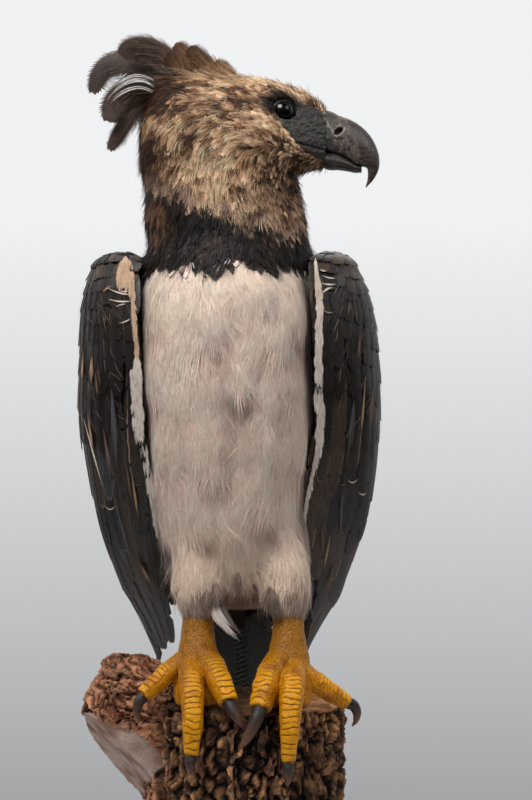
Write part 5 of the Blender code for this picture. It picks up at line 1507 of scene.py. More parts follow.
def make_crest(paints):
    random = np.random.default_rng(SEEDS["crest"])
    stations = 15
    t = np.linspace(0, 1, stations)
    paths, ups, widths, dark = [], [], [], []
    for number, (points, y, half, turn, splay) in enumerate(CREST):
        points = np.asarray(points)
        track = smooth(np.column_stack([np.linspace(0, 1, len(points)), points]), t)
        ways = unit(np.gradient(track, t, axis=0))
        tilt = math.radians(turn)
        tall, level = -ways[:, 1] * math.cos(tilt), ways[:, 0] * math.cos(tilt)
        across = np.column_stack([tall, np.full(stations, math.sin(tilt)), level])
        paths.append(np.column_stack([track[:, 0], y + splay * t**1.5, PERCH + track[:, 1]]))
        ups.append(np.cross(np.column_stack([ways[:, 0], np.zeros(stations), ways[:, 1]]), across))
        widths.append(half * (1.15 if number < 6 else 1.6))
        dark.append(1.0 if number < 6 else 0.0)
    path, ups, widths, dark = np.array(paths), np.array(ups), np.array(widths), np.array(dark)
    plain = over(path, ups, widths, 0.14)
    side_sign = np.sign((np.array([sides_of(path, ups)[i, 7] @ (path[i, 0] + path[i, -1] - 2 * path[i, 7])
                                   for i in range(len(path))])))[:, None]

    def place(t, a, shift=0.0):
        wider = 1 + 0.75 * dark[:, None] * (a * side_sign > 0)
        return plain(t, a * wider, shift)

    made = vanes(place, widths, LONG, 40, 0.16, 0.40, random)
    tint = mix(srgb(128, 94, 68), srgb(92, 74, 64), dark)
    tint = tint * random.uniform(0.55, 1.15, len(path))[:, None]

    def shade(run, reach):
        return (1.10 - 0.35 * ease(0.3, 1.0, run)) * (1 - 0.40 * ease(0.6, 1.0, reach))

    set_feathers("crest_feathers", made, tint, paints["crest"], "brown_plumage", "crest", margin=0.25 * dark,
                 shade=shade)
    shaft = shafts(place, len(path), 12, 0.04)
    set_feathers("crest_shafts", shaft, tint * 0.7, paints["crest"], "brown_plumage")
    loose = blades(place, len(path), 26, random, spread=0.9, thick=0.0004, uneven=0.35)
    set_feathers("crest_strands", loose, tint * 1.35, paints["crest"], "brown_plumage")


# The black and white barbs on the crest's lower feather: X and height at root, middle and tip
BARB_ROWS = metres((
    ((-1040, 6800), (-1320, 6840), (-1585, 6620)), ((-1060, 6640), (-1320, 6680), (-1585, 6460)),
))
BARBS = 18


def make_crest_barbs(paints):
    random = np.random.default_rng(SEEDS["barbs"])
    rows = np.array(BARB_ROWS)
    share = np.linspace(0, 1, BARBS)[:, None, None]
    spots = rows[0] + (rows[1] - rows[0]) * share + random.normal(0, 0.0008, (BARBS, 3, 2))
    t = np.linspace(0, 1, 9)[None, :, None]
    start, middle, end = spots[:, :1], spots[:, 1:2], spots[:, 2:]
    flat = start * (1 - t) ** 2 + (2 * middle - (start + end) / 2) * 2 * t * (1 - t) + end * t**2
    y = np.broadcast_to(-0.0235 - 0.002 * t[..., 0], flat.shape[:2])
    path = np.stack([flat[..., 0], y, PERCH + flat[..., 1]], -1)
    ups = np.broadcast_to((0.0, -1.0, 0.0), path.shape)
    place = over(path, ups, np.full(BARBS, 0.0006), 0.1)
    made = blades(place, BARBS, 4, random, thick=0.00024, uneven=0.25, stations=SMOOTH)
    tint = np.where((random.random(BARBS) < 0.4)[:, None], srgb(226, 218, 210), srgb(30, 25, 24))
    set_feathers("crest_barbs", made, tint, paints["crest"], "brown_plumage")


# Bill, whose first rows lie inside the head, so that no gap shows behind it
UPPER_BILL = metres((
    (690, 6480, 690, 6060, 158), (847, 6485, 847, 6020, 170), (980, 6428, 955, 5990, 158),
    (1120, 6372, 1065, 5940, 138), (1245, 6283, 1150, 5880, 118), (1347, 6150, 1220, 5868, 98),
    (1406, 5995, 1275, 5850, 78), (1408, 5850, 1285, 5770, 58), (1352, 5730, 1275, 5700, 36),
    (1272, 5640, 1258, 5638, 9),
))
LOWER_BILL = metres((
    (600, 6075, 5960, 120), (720, 6060, 5900, 140), (847, 6008, 5832, 150), (960, 5978, 5828, 140),
    (1060, 5928, 5815, 122), (1150, 5868, 5798, 98), (1215, 5852, 5800, 62),
))
NOSTRIL = (0.0960, 0.0150, 0.6235)
NOSTRIL_TURN = math.radians(-38)
SQUARE_EDGE = 0.55


def round_angles(count):
    return np.linspace(0, 2 * math.pi, count, endpoint=False)


def ellipse(around, power=1.0):
    """X and Y round an ellipse. A power under 1 makes it boxier."""
    turn = round_angles(around)
    cosine, sine = np.cos(turn), np.sin(turn)
    return np.sign(cosine) * abs(cosine) ** power, np.sign(sine) * abs(sine) ** power


def make_bill():
    paint = bill_paint()
    cosine, sine = ellipse(96)
    lower_half = np.sign(cosine) * abs(cosine) ** SQUARE_EDGE
    shape = np.where(sine < 0, lower_half, cosine)
    rows = UPPER_BILL
    steps = np.linspace(0, len(rows) - 1, 150)
    numbered = [(i, *row) for i, row in enumerate(rows)]
    rings = []
    for culmen_x, culmen_z, edge_x, edge_z, half_width in smooth(numbered, steps):
        top = np.array([culmen_x, 0, PERCH + culmen_z])
        low = np.array([edge_x, 0, PERCH + edge_z])
        across = half_width * shape * (1 - 0.16 * sine)
        rings.append((top + low) / 2 + np.outer(sine, (top - low) / 2) + np.outer(across, (0, 1, 0)))
    points, faces = loft(np.array(rings))
    x, side, h = points[:, 0], points[:, 1], points[:, 2] - PERCH
    dx, dz = x - NOSTRIL[0], h - NOSTRIL[2]
    long_way = dx * math.cos(NOSTRIL_TURN) - dz * math.sin(NOSTRIL_TURN)
    short_way = dx * math.sin(NOSTRIL_TURN) + dz * math.cos(NOSTRIL_TURN)
    gap = np.sqrt((long_way / 0.0050) ** 2 + (short_way / 0.0026) ** 2)
    flank = ease(0.004, 0.007, abs(side))
    below = ease(0.0012, -0.0012, short_way)
    # Painted highlight: a pale rim along the nostril's lower edge.
    rim = bump_at(gap, 1.50, 0.22) * below * flank
    dent = -0.0050 * ease(1.25, 0.60, gap) + 0.0010 * bump_at(gap, 1.45, 0.35)
    cere = ease(0.1135, 0.1105, x + 0.35 * (h - 0.62) + 0.0018 * noise(points, 0.006, 4))
    ridge = bump_at(line_gap(points, CERE_RIDGE), 0, 0.0009) * flank
    swell = 0.0009 * cere + 0.0005 * noise(points, 0.004, 6) * (0.3 + cere) + 0.0010 * ridge
    outward = np.sign(side) * (dent * flank + swell * np.minimum(1, abs(side) / 0.004))
    points[:, 1] += outward
    # Painted shade: near black inside the nostril and along the gape's edge.
    painted_hollow_shade = ease(1.2, 0.8, gap) * flank
    edge = bump_at(line_gap(points, GAPE[1:]), 0, 0.0009) * ease(0.130, 0.124, x)
    lores = ease(0.0960, 0.0860, x + 0.004 * noise(points, 0.006, 9))
    layer = np.column_stack([cere, np.maximum(painted_hollow_shade, 0.9 * edge), np.maximum(rim, 0.6 * ridge), lores])
    dress(mesh_object("bill_upper_horn", points, faces, paint, tint=layer), "bill_horn", "bill_upper")
    rows = LOWER_BILL
    places = np.linspace(rows[0][0], rows[-1][0], 60)
    rings = []
    for place, (top, low, half_width) in zip(places, smooth(rows, places)):
        top = top + 0.0030
        z = PERCH + (top + low) / 2 + (top - low) / 2 * sine
        rings.append(np.stack([np.full(96, place), 0.97 * half_width * cosine * (1 - 0.10 * sine), z], 1))
    points, faces = loft(np.array(rings))
    x = points[:, 0]
    points[:, 1] += np.sign(points[:, 1]) * 0.0003 * noise(points, 0.004, 7)
    # The second column darkens the whole lower bill towards near black: painted shade under the upper bill.
    layer = np.column_stack([0.75 * ease(0.112, 0.094, x), 0 * x + 0.45, 0 * x, 0.6 * ease(0.096, 0.086, x)])
    dress(mesh_object("bill_lower_horn", points, faces, paint, tint=layer), "bill_horn", "bill_lower")


def bill_paint():
    paint = Paint("bill_horn", {"Specular IOR Level": 0.5, "Coat Weight": 0.12, "Coat Roughness": 0.25})
    split = paint.tree.nodes.new("ShaderNodeSeparateColor")
    paint.put(split.inputs[0], paint.layer("tint"))
    cere, painted_hollow_shade, rim = split.outputs[0], split.outputs[1], split.outputs[2]
    mottle = paint.noise(170, 6, 0.7)
    flecks = paint.noise(420, 4, 0.7)
    lengthways = paint.noise(90, 4, 0.6, vector=paint.stretched((1.0, 1.0, 6.0), (0, 0.7, 0)))
    horn = paint.mix(paint.span(lengthways, 0.35, 0.7), srgb(44, 38, 36), srgb(76, 64, 58))
    skin = paint.mix(paint.span(mottle, 0.36, 0.60), srgb(42, 40, 38), srgb(94, 84, 78))
    skin = paint.mix(paint.span(flecks, 0.56, 0.68, 0.0, 0.85), skin, srgb(166, 138, 126))
    horn = paint.mix(paint.span(flecks, 0.56, 0.72, 0.0, 0.45), horn, srgb(126, 104, 94))
    creases = paint.noise(330, 4, 0.65)
    worn = paint.mix(paint.span(creases, 0.38, 0.62), *WORN)
    lores = paint.mix(0.55, SLATE, worn)
    skin = paint.mix(paint.layer("tint", out="Alpha"), skin, lores)
    colour = paint.mix(cere, horn, skin)
    # Painted highlight along the nostril's lower rim, mixed with the pale line of the cere's ridge.
    colour = paint.mix(rim, colour, srgb(176, 156, 140))
    # Painted shade: near black in the nostril, along the gape and over the lower bill.
    colour = paint.mix(painted_hollow_shade, colour, srgb(14, 12, 12))
    height = paint.maths("ADD", paint.maths("MULTIPLY", mottle, cere), paint.maths("MULTIPLY", flecks, 0.3))
    return paint.finish(colour, paint.span(mottle, 0.3, 0.7, 0.28, 0.50), paint.relief(height, 0.0010, 0.8))


# Eyes
def make_eyes():
    eye = Paint("eye", {"Base Color": srgb(20, 14, 11), "Roughness": 0.13, "Specular IOR Level": 0.28,
                        "Coat Weight": 0.12, "Coat Roughness": 0.04})
    reach, _, _ = eye.parts("vane")
    iris = eye.maths("MULTIPLY", eye.span(reach, 0.42, 0.50), eye.span(reach, 0.80, 0.72))
    colour = eye.mix(iris, srgb(6, 5, 5), srgb(24, 17, 13))
    eye.finish(colour)
    lid = Paint("eyelid", {"Specular IOR Level": 0.45})
    wrinkle = lid.noise(520, 4, 0.6)
    lid.finish(lid.mix(wrinkle, srgb(22, 20, 20), srgb(58, 54, 52)), 0.5, lid.relief(wrinkle, 0.0008, 0.9))
    for side, sign in MIRROR.items():
        axis = EYE_WAY * (1, sign, 1)
        middle = np.array((EYE[0], EYE[1] * sign, PERCH + EYE[2]))
        turn = np.array(Vector((0, 0, 1)).rotation_difference(Vector(axis)).to_matrix())
        angle, tilt = np.meshgrid(round_angles(48), np.linspace(0.02, math.pi - 0.02, 32))
        bulge = 1 + 0.045 * np.exp(-((tilt / 0.55) ** 2))
        x, y = np.sin(tilt) * np.cos(angle), np.sin(tilt) * np.sin(angle)
        local = np.stack([x, y, np.cos(tilt) * bulge], -1)
        rings = local * (EYE_RADIUS - 0.0004) @ turn.T + middle
        points, faces = loft(rings)
        spread = np.linalg.norm(np.cross(points - middle, axis), axis=1) / EYE_RADIUS
        vane = np.column_stack([spread, 0 * spread, 0 * spread])
        dress(mesh_object("eyeball_" + side, points, faces, eye.material, vane=vane), "eye", "eye_" + side)
        make_lids(side, middle, axis, lid.material)


def make_lids(side, middle, axis, material):
    """The eyelids: a wrinkled ring that hugs the eyeball, a little pointed in front and behind."""
    angle = round_angles(72)
    up = unit(np.array((0, 0, 1.0)) - axis * axis[2])
    forward = np.cross(up, axis) * (1 if side == "right" else -1)
    rings = []
    for share in np.linspace(0, 1, 14):
        squeeze = 1 + 0.05 * np.cos(2 * angle) - 0.05 * np.maximum(0, np.sin(angle)) ** 2
        radius = (0.0116 + 0.0068 * share) * squeeze
        folds = 0.00022 * np.sin(share * 26) * (1 + 0.5 * np.sin(9 * angle))
        surface = np.sqrt(np.maximum(0, EYE_RADIUS**2 - np.minimum(radius, 0.0142) ** 2))
        lift = surface + 0.0004 + 0.0016 * math.sin(math.pi * min(1, share * 1.6)) + folds - 0.0050 * share**2
        rings.append(middle + forward[None] * (radius * np.cos(angle))[:, None]
                     + up[None] * (radius * np.sin(angle))[:, None] + axis[None] * lift[:, None])
    inner = [middle + (ring - middle) * 0.90 for ring in rings]
    points, faces = loft(np.array(rings + inner[::-1] + [rings[0]]))
    dress(mesh_object("eyelids_" + side, points, faces, material), "brown_plumage")


# Legs
FOOT_X = {"left": 0.0405, "right": -0.0570}
TARSUS = metres((
    (60, 230, 220, -610), (200, 250, 225, -610), (380, 240, 210, -600), (560, 215, 190, -560),
    (740, 180, 170, -490), (920, 160, 160, -420), (1240, 170, 175, -300),
))
# Each toe's path in X, Y and height above the perch, with half width and half height
TOES = metres({
    "left": {
        "middle": (
            (450, -700, 420, 135, 130), (446, -920, 325, 130, 122), (430, -1080, 160, 118, 108),
            (418, -1160, -20, 106, 102), (412, -1180, -180, 92, 94), (402, -1180, -340, 80, 84),
            (396, -1170, -460, 70, 74),
        ),
        "inner": (
            (310, -660, 540, 140, 130), (245, -780, 450, 138, 128), (188, -920, 350, 132, 122),
            (142, -1050, 215, 122, 112), (104, -1140, 80, 108, 100),
        ),
        "outer": (
            (530, -640, 400, 122, 118), (662, -600, 300, 110, 106), (797, -560, 205, 100, 98),
            (930, -510, 110, 90, 88), (1035, -470, 45, 80, 78),
        ),
        "hind": (
            (360, -480, 170, 140, 140), (340, -280, 150, 130, 125), (330, -100, 130, 120, 115),
            (330, 60, 125, 100, 100),
        ),
    },
    "right": {
        "middle": (
            (-632, -700, 440, 135, 130), (-622, -900, 350, 128, 120), (-608, -1060, 175, 118, 108),
            (-600, -1150, -20, 106, 100), (-606, -1170, -215, 90, 92), (-616, -1170, -390, 74, 78),
        ),
        "inner": (
            (-490, -640, 580, 138, 130), (-430, -740, 500, 134, 126), (-362, -880, 405, 126, 118),
            (-292, -1020, 275, 116, 108), (-226, -1120, 140, 100, 94),
        ),
        "outer": (
            (-720, -600, 500, 118, 114), (-838, -660, 425, 108, 104), (-938, -720, 340, 98, 96),
            (-1045, -770, 245, 88, 86), (-1130, -800, 165, 80, 78),
        ),
        "hind": (
            (-540, -480, 170, 140, 140), (-520, -280, 150, 130, 125), (-510, -100, 130, 120, 115),
            (-510, 60, 125, 100, 100),
        ),
    },
})
# Each claw's path in the same frame, with its half thickness
CLAWS = metres({
    "left": {
        "middle": (
            (395, -1170, -460, 62), (392, -1210, -545, 56), (390, -1220, -620, 42), (390, -1190, -685, 24),
            (390, -1140, -720, 6),
        ),
        "inner": (
            (100, -1150, 80, 76), (62, -1230, -20, 70), (5, -1265, -140, 56), (-62, -1245, -255, 36),
            (-125, -1180, -340, 7),
        ),
        "outer": (
            (1030, -470, 45, 62), (1105, -450, 10, 56), (1145, -430, -70, 45), (1135, -410, -160, 28),
            (1095, -390, -225, 6),
        ),
        "hind": (
            (330, 60, 125, 80), (330, 200, 170, 74), (330, 350, 165, 64), (330, 480, 110, 46),
            (330, 550, 20, 8),
        ),
    },
    "right": {
        "middle": (
            (-616, -1170, -390, 64), (-620, -1210, -465, 56), (-624, -1215, -525, 42),
            (-626, -1185, -580, 24), (-627, -1140, -605, 6),
        ),
        "inner": (
            (-226, -1120, 140, 70), (-180, -1190, 60, 62), (-130, -1215, -10, 48), (-85, -1200, -80, 30),
            (-58, -1150, -130, 7),
        ),
        "outer": (
            (-1130, -800, 165, 62), (-1178, -835, 105, 54), (-1200, -850, 25, 42), (-1200, -835, -55, 26),
            (-1185, -800, -115, 6),
        ),
        "hind": (
            (-510, 60, 125, 80), (-510, 200, 170, 74), (-510, 350, 165, 64), (-510, 480, 110, 46),
            (-510, 550, 20, 8),
        ),
    },
})
FIRST_SCUTE = {"middle": 0.20, "inner": 0.30, "outer": 0.30, "hind": 0.30}


# Length of the plates on the toes, and spacing of the scales
PLATE_LENGTH = 0.0056
SCALE_SPACING = 0.0027


def along_path(rows, stations):
    """Reads the rows of a toe or claw at even places. Returns the path and the rest of the columns."""
    numbered = [(i / (len(rows) - 1), *row) for i, row in enumerate(rows)]
    read = smooth(numbered, np.linspace(0, 1, stations))
    return read[:, :3] + (0, 0, PERCH), read[:, 3:]


def frame_of(path):
    """Ways along, across and up at each place of a path that curls down."""
    start, end = unit(path[1] - path[0]), unit(path[-1] - path[-2])
    across = unit(np.cross(end, start) + 0.25 * np.cross(start, (0, 0, 1.0)))
    ways = unit(np.gradient(path, axis=0))
    side = unit(across - ways * (ways @ across)[:, None])
    return ways, side, np.cross(side, ways)


def tube(path, half_widths, half_heights, around=24, power=0.9):
    """Points and triangles of a body along a path."""
    _, side, up = frame_of(path)
    cosine, sine = ellipse(around, power)
    rings = (path[:, None] + side[:, None] * (np.outer(half_widths, cosine))[..., None]
             + up[:, None] * (np.outer(half_heights, sine))[..., None])
    return loft(rings)


def tarsus_tube(side):
    heights = np.linspace(TARSUS[-1][0] + 0.010, TARSUS[0][0], 30)
    cosine, sine = ellipse(32, 0.9)
    rings = []
    for z, (half_width, half_depth, y) in zip(heights, smooth(TARSUS, heights)):
        x = FOOT_X[side] + half_width * cosine
        rings.append(np.stack([x, y + half_depth * sine, np.full(32, PERCH + z)], 1))
    return loft(np.array(rings))


def knuckles(t, joints=(0.33, 0.66)):
    """How much a toe swells at its joints."""
    return 1 + 0.07 * sum(bump_at(t, joint, 0.07) for joint in joints)


def plates(points, side):
    """The broad plates on the backs of the toes: how strongly they show, their edges, and places along."""
    rows = []
    for toe, table in TOES[side].items():
        path, sizes = along_path(table, 60)
        ways, across, up = frame_of(path)
        length = np.concatenate([[0], np.cumsum(np.linalg.norm(np.diff(path, axis=0), axis=1))])
        start = FIRST_SCUTE[toe] * length[-1]
        for i in range(60):
            rows.append((path[i], across[i], up[i], ways[i], length[i], length[-1], start, sizes[i].mean()))
    tree = tree_of([row[0] for row in rows])
    nearest = np.array([tree.find(p)[1] for p in points.tolist()])
    middle, across, up, ways = (np.array([row[k] for row in rows])[nearest] for k in range(4))
    length, whole, start, size = (np.array([row[k] for row in rows])[nearest] for k in range(4, 8))
    offset = points - middle
    place = length + (offset * ways).sum(1)
    turn = np.arctan2((offset * across).sum(1), (offset * up).sum(1))
    share = np.clip((place - start) / (whole - start), 0, 1.1)
    uneven = 0.0019 * noise(points, 0.0085, 14) + 0.0012 * turn * noise(points, 0.02, 13)
    number = (np.maximum(place + uneven - start, 0) / PLATE_LENGTH) * (1.30 - 0.30 * share)
    gap = 0.5 - abs(number % 1 - 0.5)
    width = 0.62 + 0.22 * share + 0.22 * noise(points, 0.007, 15)
    top = ease(width + 0.16, width, abs(turn))
    shows = top * ease(-0.001, 0.004, place - start) * (np.linalg.norm(offset, axis=1) < size * 1.5)
    return shows, gap, share, number % 1


def make_leg(side, paint):
    pieces = [tarsus_tube(side)]
    for table in TOES[side].values():
        path, sizes = along_path(table, 40)
        swell = knuckles(np.linspace(0, 1, 40))
        pieces.append(tube(path, sizes[:, 0] * swell, sizes[:, 1] * swell))
    points, faces, normals = mesh_arrays(voxels("leg", pieces, LEG_VOXEL, 5))
    shows, gap, share, phase = plates(points, side)
    skin = Surface(points, faces, normals)
    skin.uv = np.zeros((len(faces), 3, 2))
    seeds, _, _ = skin.scatter(SCALE_SPACING, lambda p, n: np.ones(len(p)), 17)
    flat = np.array((0.50, 0.80, 1.0))
    warped = points + 0.0010 * noise(points, 0.005, 22)[:, None]
    apart, which = cells_at(seeds * flat, warped * flat)
    cell = ease(0.0, 0.00055, apart)
    plate = ease(0.0, 0.13, gap)
    height = mix1(cell * 0.00050, plate * 0.00110 + 0.00040 * phase, shows)
    height += 0.0005 * noise(points, 0.007, 18)
    moved = points + normals * height[:, None]
    groove = mix1((1 - cell) * 0.75, 1 - plate, shows)
    random = np.random.default_rng(SEEDS["scales"]).random(len(seeds))[which]
    colour = mix(srgb(204, 128, 6), srgb(230, 158, 14), 0.6 * random + 0.4 * shows)
    stain = ease(0.10, 0.75, noise(points, 0.012, 20)) * 0.65
    colour = mix(colour, srgb(154, 82, 8), stain)
    # Painted shade: the grooves between the scales and plates are painted dark.
    colour = mix(colour, srgb(66, 34, 8), np.clip(groove * 0.95, 0, 1))
    # Painted shade: the tarsus darkens upwards, where the belly shades it.
    colour = colour * (1 - 0.46 * ease(0.030, 0.070, points[:, 2] - PERCH))[:, None]
    colour = mix(colour, srgb(120, 84, 30), ease(0.93, 1.02, share) * 0.7)
    layer = np.column_stack([colour, 1 - groove])
    obj = mesh_object("leg_skin_" + side, moved, faces, paint, tint=layer)
    toes = [f"toe_{side}_{toe}" for toe in TOES[side]]
    dress(obj, "scaly_skin", "tarsus_" + side, *toes)


def leg_paint():
    paint = Paint("scaly_skin", {"Specular IOR Level": 0.28})
    fine = paint.noise(1500, 3)
    blotch = paint.noise(120, 4, 0.6)
    dirt = paint.mix(paint.span(blotch, 0.52, 0.74, 0.0, 0.45), paint.layer("tint"), srgb(132, 78, 14))
    smoothness = paint.span(paint.layer("tint", out="Alpha"), 0.3, 1.0, 0.66, 0.42)
    return paint.finish(dirt, smoothness, paint.relief(fine, 0.0005, 0.6))


def make_claws(side, paint):
    for toe, table in CLAWS[side].items():
        path, sizes = along_path(table, 30)
        thick = np.maximum(sizes[:, 0], 0.0005)
        start = path[0] - unit(path[1] - path[0]) * 0.004
        path, thick = np.vstack([start, path]), np.concatenate([[thick[0] * 0.9], thick])
        points, faces = tube(path, 1.02 * thick, 1.08 * thick, around=28, power=0.95)
        t = np.concatenate([np.repeat(np.linspace(0, 1, 31), 28), (0, 1)])
        vane = np.column_stack([t, t, t])
        obj = mesh_object(f"claw_horn_{side}_{toe}", points, faces, paint, vane=vane)
        dress(obj, "claw", f"claw_{side}_{toe}")


def claw_paint():
    paint = Paint("claw_horn", {"Specular IOR Level": 0.32, "Coat Weight": 0.05, "Coat Roughness": 0.3})
    t, _, _ = paint.parts("vane")
    base = paint.mix(paint.span(t, 0.20, 0.85), srgb(44, 40, 38), srgb(118, 80, 58))
    worn = paint.noise(350, 5, 0.7)
    patches = paint.noise(110, 4, 0.7)
    colour = paint.mix(paint.span(worn, 0.50, 0.75, 0.0, 0.5), base, srgb(120, 92, 74))
    colour = paint.mix(paint.span(patches, 0.50, 0.68, 0.0, 0.7), colour, srgb(40, 34, 32))
    return paint.finish(colour, paint.span(worn, 0.3, 0.7, 0.34, 0.60), paint.relief(worn, 0.0009, 0.7))


# Log: the line under which the limb shows its pale wood: X and height along its top, and its inner side
PALE_WOOD_TOP = metres((
    (-1750, -100), (-1620, -160), (-1210, -260), (-890, -580), (-800, -700),
))
PALE_WOOD_SIDE = metres((
    (-1100, -1280), (-888, -1120), (-600, -910), (-500, -880),
))


def pale_wood(points, normals):
    """1 where the sawn and split wood of the limb lies bare, in front and on its cut."""
    x, h = points[:, 0], points[:, 2] - PERCH
    wander = 0.005 * noise(points, 0.011, 37)
    under = ease(0.0, -0.003, h + wander - np.interp(x, *np.transpose(PALE_WOOD_TOP)))
    inside = ease(0.0, -0.003, x + wander - np.interp(h, *np.transpose(PALE_WOOD_SIDE)))
    front = under * inside * ease(0.25, 0.05, normals[:, 1])
    cut = unit(np.array((-0.68, -0.36, -0.64)))
    flat = ease(0.85, 0.95, normals @ cut) * (x < -0.12)
    return np.maximum(front, flat)


def bark_plates(points, spacing, stretch, seed):
    """Plates of bark: distance from their cracks, a random number for each, and the tilt of its face."""
    random = np.random.default_rng(seed)
    stretch = np.array(stretch)
    low, high = points.min(0), points.max(0)
    count = np.ceil((high - low) * stretch / spacing).astype(int) + 1
    grid = np.stack(np.meshgrid(*(np.arange(c) for c in count), indexing="ij"), -1).reshape(-1, 3)
    seeds = low * stretch + (grid + random.uniform(0, 1, grid.shape)) * spacing
    gap, which = cells_at(seeds, points * stretch)
    lean = unit(random.normal(0, 1, seeds.shape))[which]
    tilt = ((points * stretch - seeds[which]) * lean).sum(1) / spacing
    return gap, random.random(len(seeds))[which], tilt


# The way that the broken limb grows, seen from the front
LIMB_LEAN = math.radians(28)
# Pieces of the bark and of the split limb: spacing, how much closer they lie in X, Y and height, and seed
PLATES = (0.0125, (1.0, 1.0, 0.36), 31)
CHIPS = (0.0060, (1.0, 1.0, 0.60), 32)
SPLINTERS = (0.0068, (0.26, 0.60, 1.10), 43)


def make_log():
    points, faces, normals = mesh_arrays(voxels("log", [node_piece("log")], LOG_VOXEL, 3))
    x, y, h = points[:, 0], points[:, 1], points[:, 2] - PERCH
    sawn = pale_wood(points, normals)
    top = ease(0.55, 0.85, normals[:, 2]) * (np.hypot(x, y) < 0.112) * (abs(h) < 0.012)
    base = ease(0.004, 0.0, points[:, 2])
    limb = ease(-0.088, -0.104, x + 0.008 * noise(points, 0.02, 38))
    warped = points + 0.007 * np.column_stack([noise(points, 0.012, 30 + k) for k in range(3)])
    lean_x = warped[:, 0] * math.cos(LIMB_LEAN) - warped[:, 2] * math.sin(LIMB_LEAN)
    lean_z = warped[:, 0] * math.sin(LIMB_LEAN) + warped[:, 2] * math.cos(LIMB_LEAN)
    leaning = np.column_stack([lean_x, warped[:, 1], lean_z])
    gap, chance, tilt = bark_plates(warped, *PLATES)
    small, chance_small, tilt_small = bark_plates(warped, *CHIPS)
    block, chance_block, tilt_block = bark_plates(leaning, *SPLINTERS)
    plate, crumb, piece = ease(0.0004, 0.0030, gap), ease(0.0, 0.0011, small), ease(0.0, 0.0016, block)
    rough = noise(points, 0.0045, 33)
    raised_by = 0.0040 + 0.0045 * chance + 0.0050 * tilt
    chips = crumb * (0.0020 * chance_small + 0.0022 * tilt_small)
    bark = -0.0095 + plate * raised_by + chips + 0.0014 * rough
    split = -0.0060 + 0.0020 * piece + 0.0050 * chance_block + 0.0040 * tilt_block + 0.0010 * rough
    split = split + 0.0030 * noise(points, 0.020, 40)
    bark = mix1(bark, split, limb)
    wood = -0.0020 + 0.0008 * noise(points, 0.010, 35) + 0.0004 * rough
    height = mix1(bark, wood, sawn)
    height = mix1(height, 0.0022 * noise(points, 0.012, 36) + 0.0012 * rough, top)
    height = mix1(height, 0 * h, base)
    keep = toe_clearance(points)
    moved = points + normals * np.where(height > 0, np.minimum(height, keep), height)[:, None]
    tints = {
        "plate": bark_tint(chance, chance_small, plate, crumb, rough + tilt_small),
        "limb": limb_tint(piece, chance_block, rough + tilt_block),
        "pale": wood_tint(points, 0.014, 41, srgb(204, 176, 160), srgb(150, 114, 94)),
        "crown": wood_tint(points, 0.010, 42, srgb(252, 198, 142), srgb(206, 138, 88)),
    }
    dark_top = mix(tints["plate"], tints["crown"] * 0.22, 0.5)
    crown = mix(dark_top, tints["crown"], ease(0.030, 0.048, x + 0.006 * noise(points, 0.012, 44)))
    colour = mix(mix(tints["plate"], tints["limb"], limb * 0.92), tints["pale"], sawn)
    colour = mix(colour, crown, top)
    layer = np.column_stack([np.clip(colour, DARKEST, LIGHTEST), np.maximum(sawn, top)])
    obj = mesh_object("log_bark", moved, faces, log_paint(), tint=layer)
    obj.data.shade_flat()
    dress(obj, "bark", "log")


def bark_tint(chance, chance_small, plate, crumb, rough):
    """Dark bark with browner plates, a few bright chips, and painted shade that blackens the cracks between
    the plates.
    """
    light = np.clip(0.36 + 0.50 * (chance - 0.5) + 0.60 * (chance_small - 0.5) + 0.45 * rough, 0, 1)
    colour = mix(srgb(58, 43, 35), srgb(168, 122, 86), light)
    colour = mix(colour, srgb(222, 160, 108), 0.85 * ease(0.80, 0.92, chance_small) * crumb)
    # Painted shade in the cracks between the plates.
    return mix(colour * 1.15, srgb(16, 12, 11), np.clip(1.00 * (1 - plate) + 0.35 * (1 - crumb), 0, 1))


def limb_tint(piece, chance, rough):
    """The limb's reddish split wood, splinter by splinter, with painted shade in the gaps between the
    splinters.
    """
    light = np.clip(0.50 + 0.9 * (chance - 0.5) + 0.45 * rough, 0, 1)
    red = mix(srgb(118, 76, 56), srgb(240, 178, 138), light)
    red = mix(red, srgb(120, 100, 90), 0.6 * ease(0.80, 0.90, chance))
    # Painted shade in the gaps between the splinters.
    return mix(red * (1.12, 1.0, 0.93), srgb(26, 18, 15), np.clip(0.9 * (1 - piece), 0, 1))


def wood_tint(points, size, seed, light, dark):
    share = np.clip(0.4 + noise(points, size, seed), 0, 1)
    return mix(light, dark, share)


def toe_clearance(points):
    """How far the log may swell before it would swallow a toe."""
    owners = []
    for tables in TOES.values():
        for table in tables.values():
            path, sizes = along_path(table, 24)
            owners += [(spot, size) for spot, size in zip(path.tolist(), sizes[:, 1])]
    tree = tree_of([spot for spot, _ in owners])
    found = [tree.find(p) for p in points.tolist()]
    gap = np.array([f[2] - owners[f[1]][1] for f in found])
    return np.maximum(gap * 0.6, 0)


def log_paint():
    paint = Paint("bark", {"Specular IOR Level": 0.3})
    bare = paint.layer("tint", out="Alpha")
    flecks = paint.noise(190, 5, 0.75)
    grain = paint.noise(420, 4, 0.7)
    lighter = paint.mix(paint.span(flecks, 0.56, 0.70, 0.0, 0.60), paint.layer("tint"), srgb(196, 144, 102))
    darker = paint.mix(paint.span(flecks, 0.44, 0.30, 0.0, 0.75), lighter, srgb(24, 17, 14))
    wood = paint.mix(paint.span(grain, 0.52, 0.72, 0.0, 0.55), paint.layer("tint"), srgb(104, 74, 58))
    colour = paint.mix(bare, darker, wood)
    height = paint.maths("ADD", flecks, paint.maths("MULTIPLY", grain, 0.6))
    return paint.finish(colour, 0.9, paint.relief(height, 0.004, 0.9))


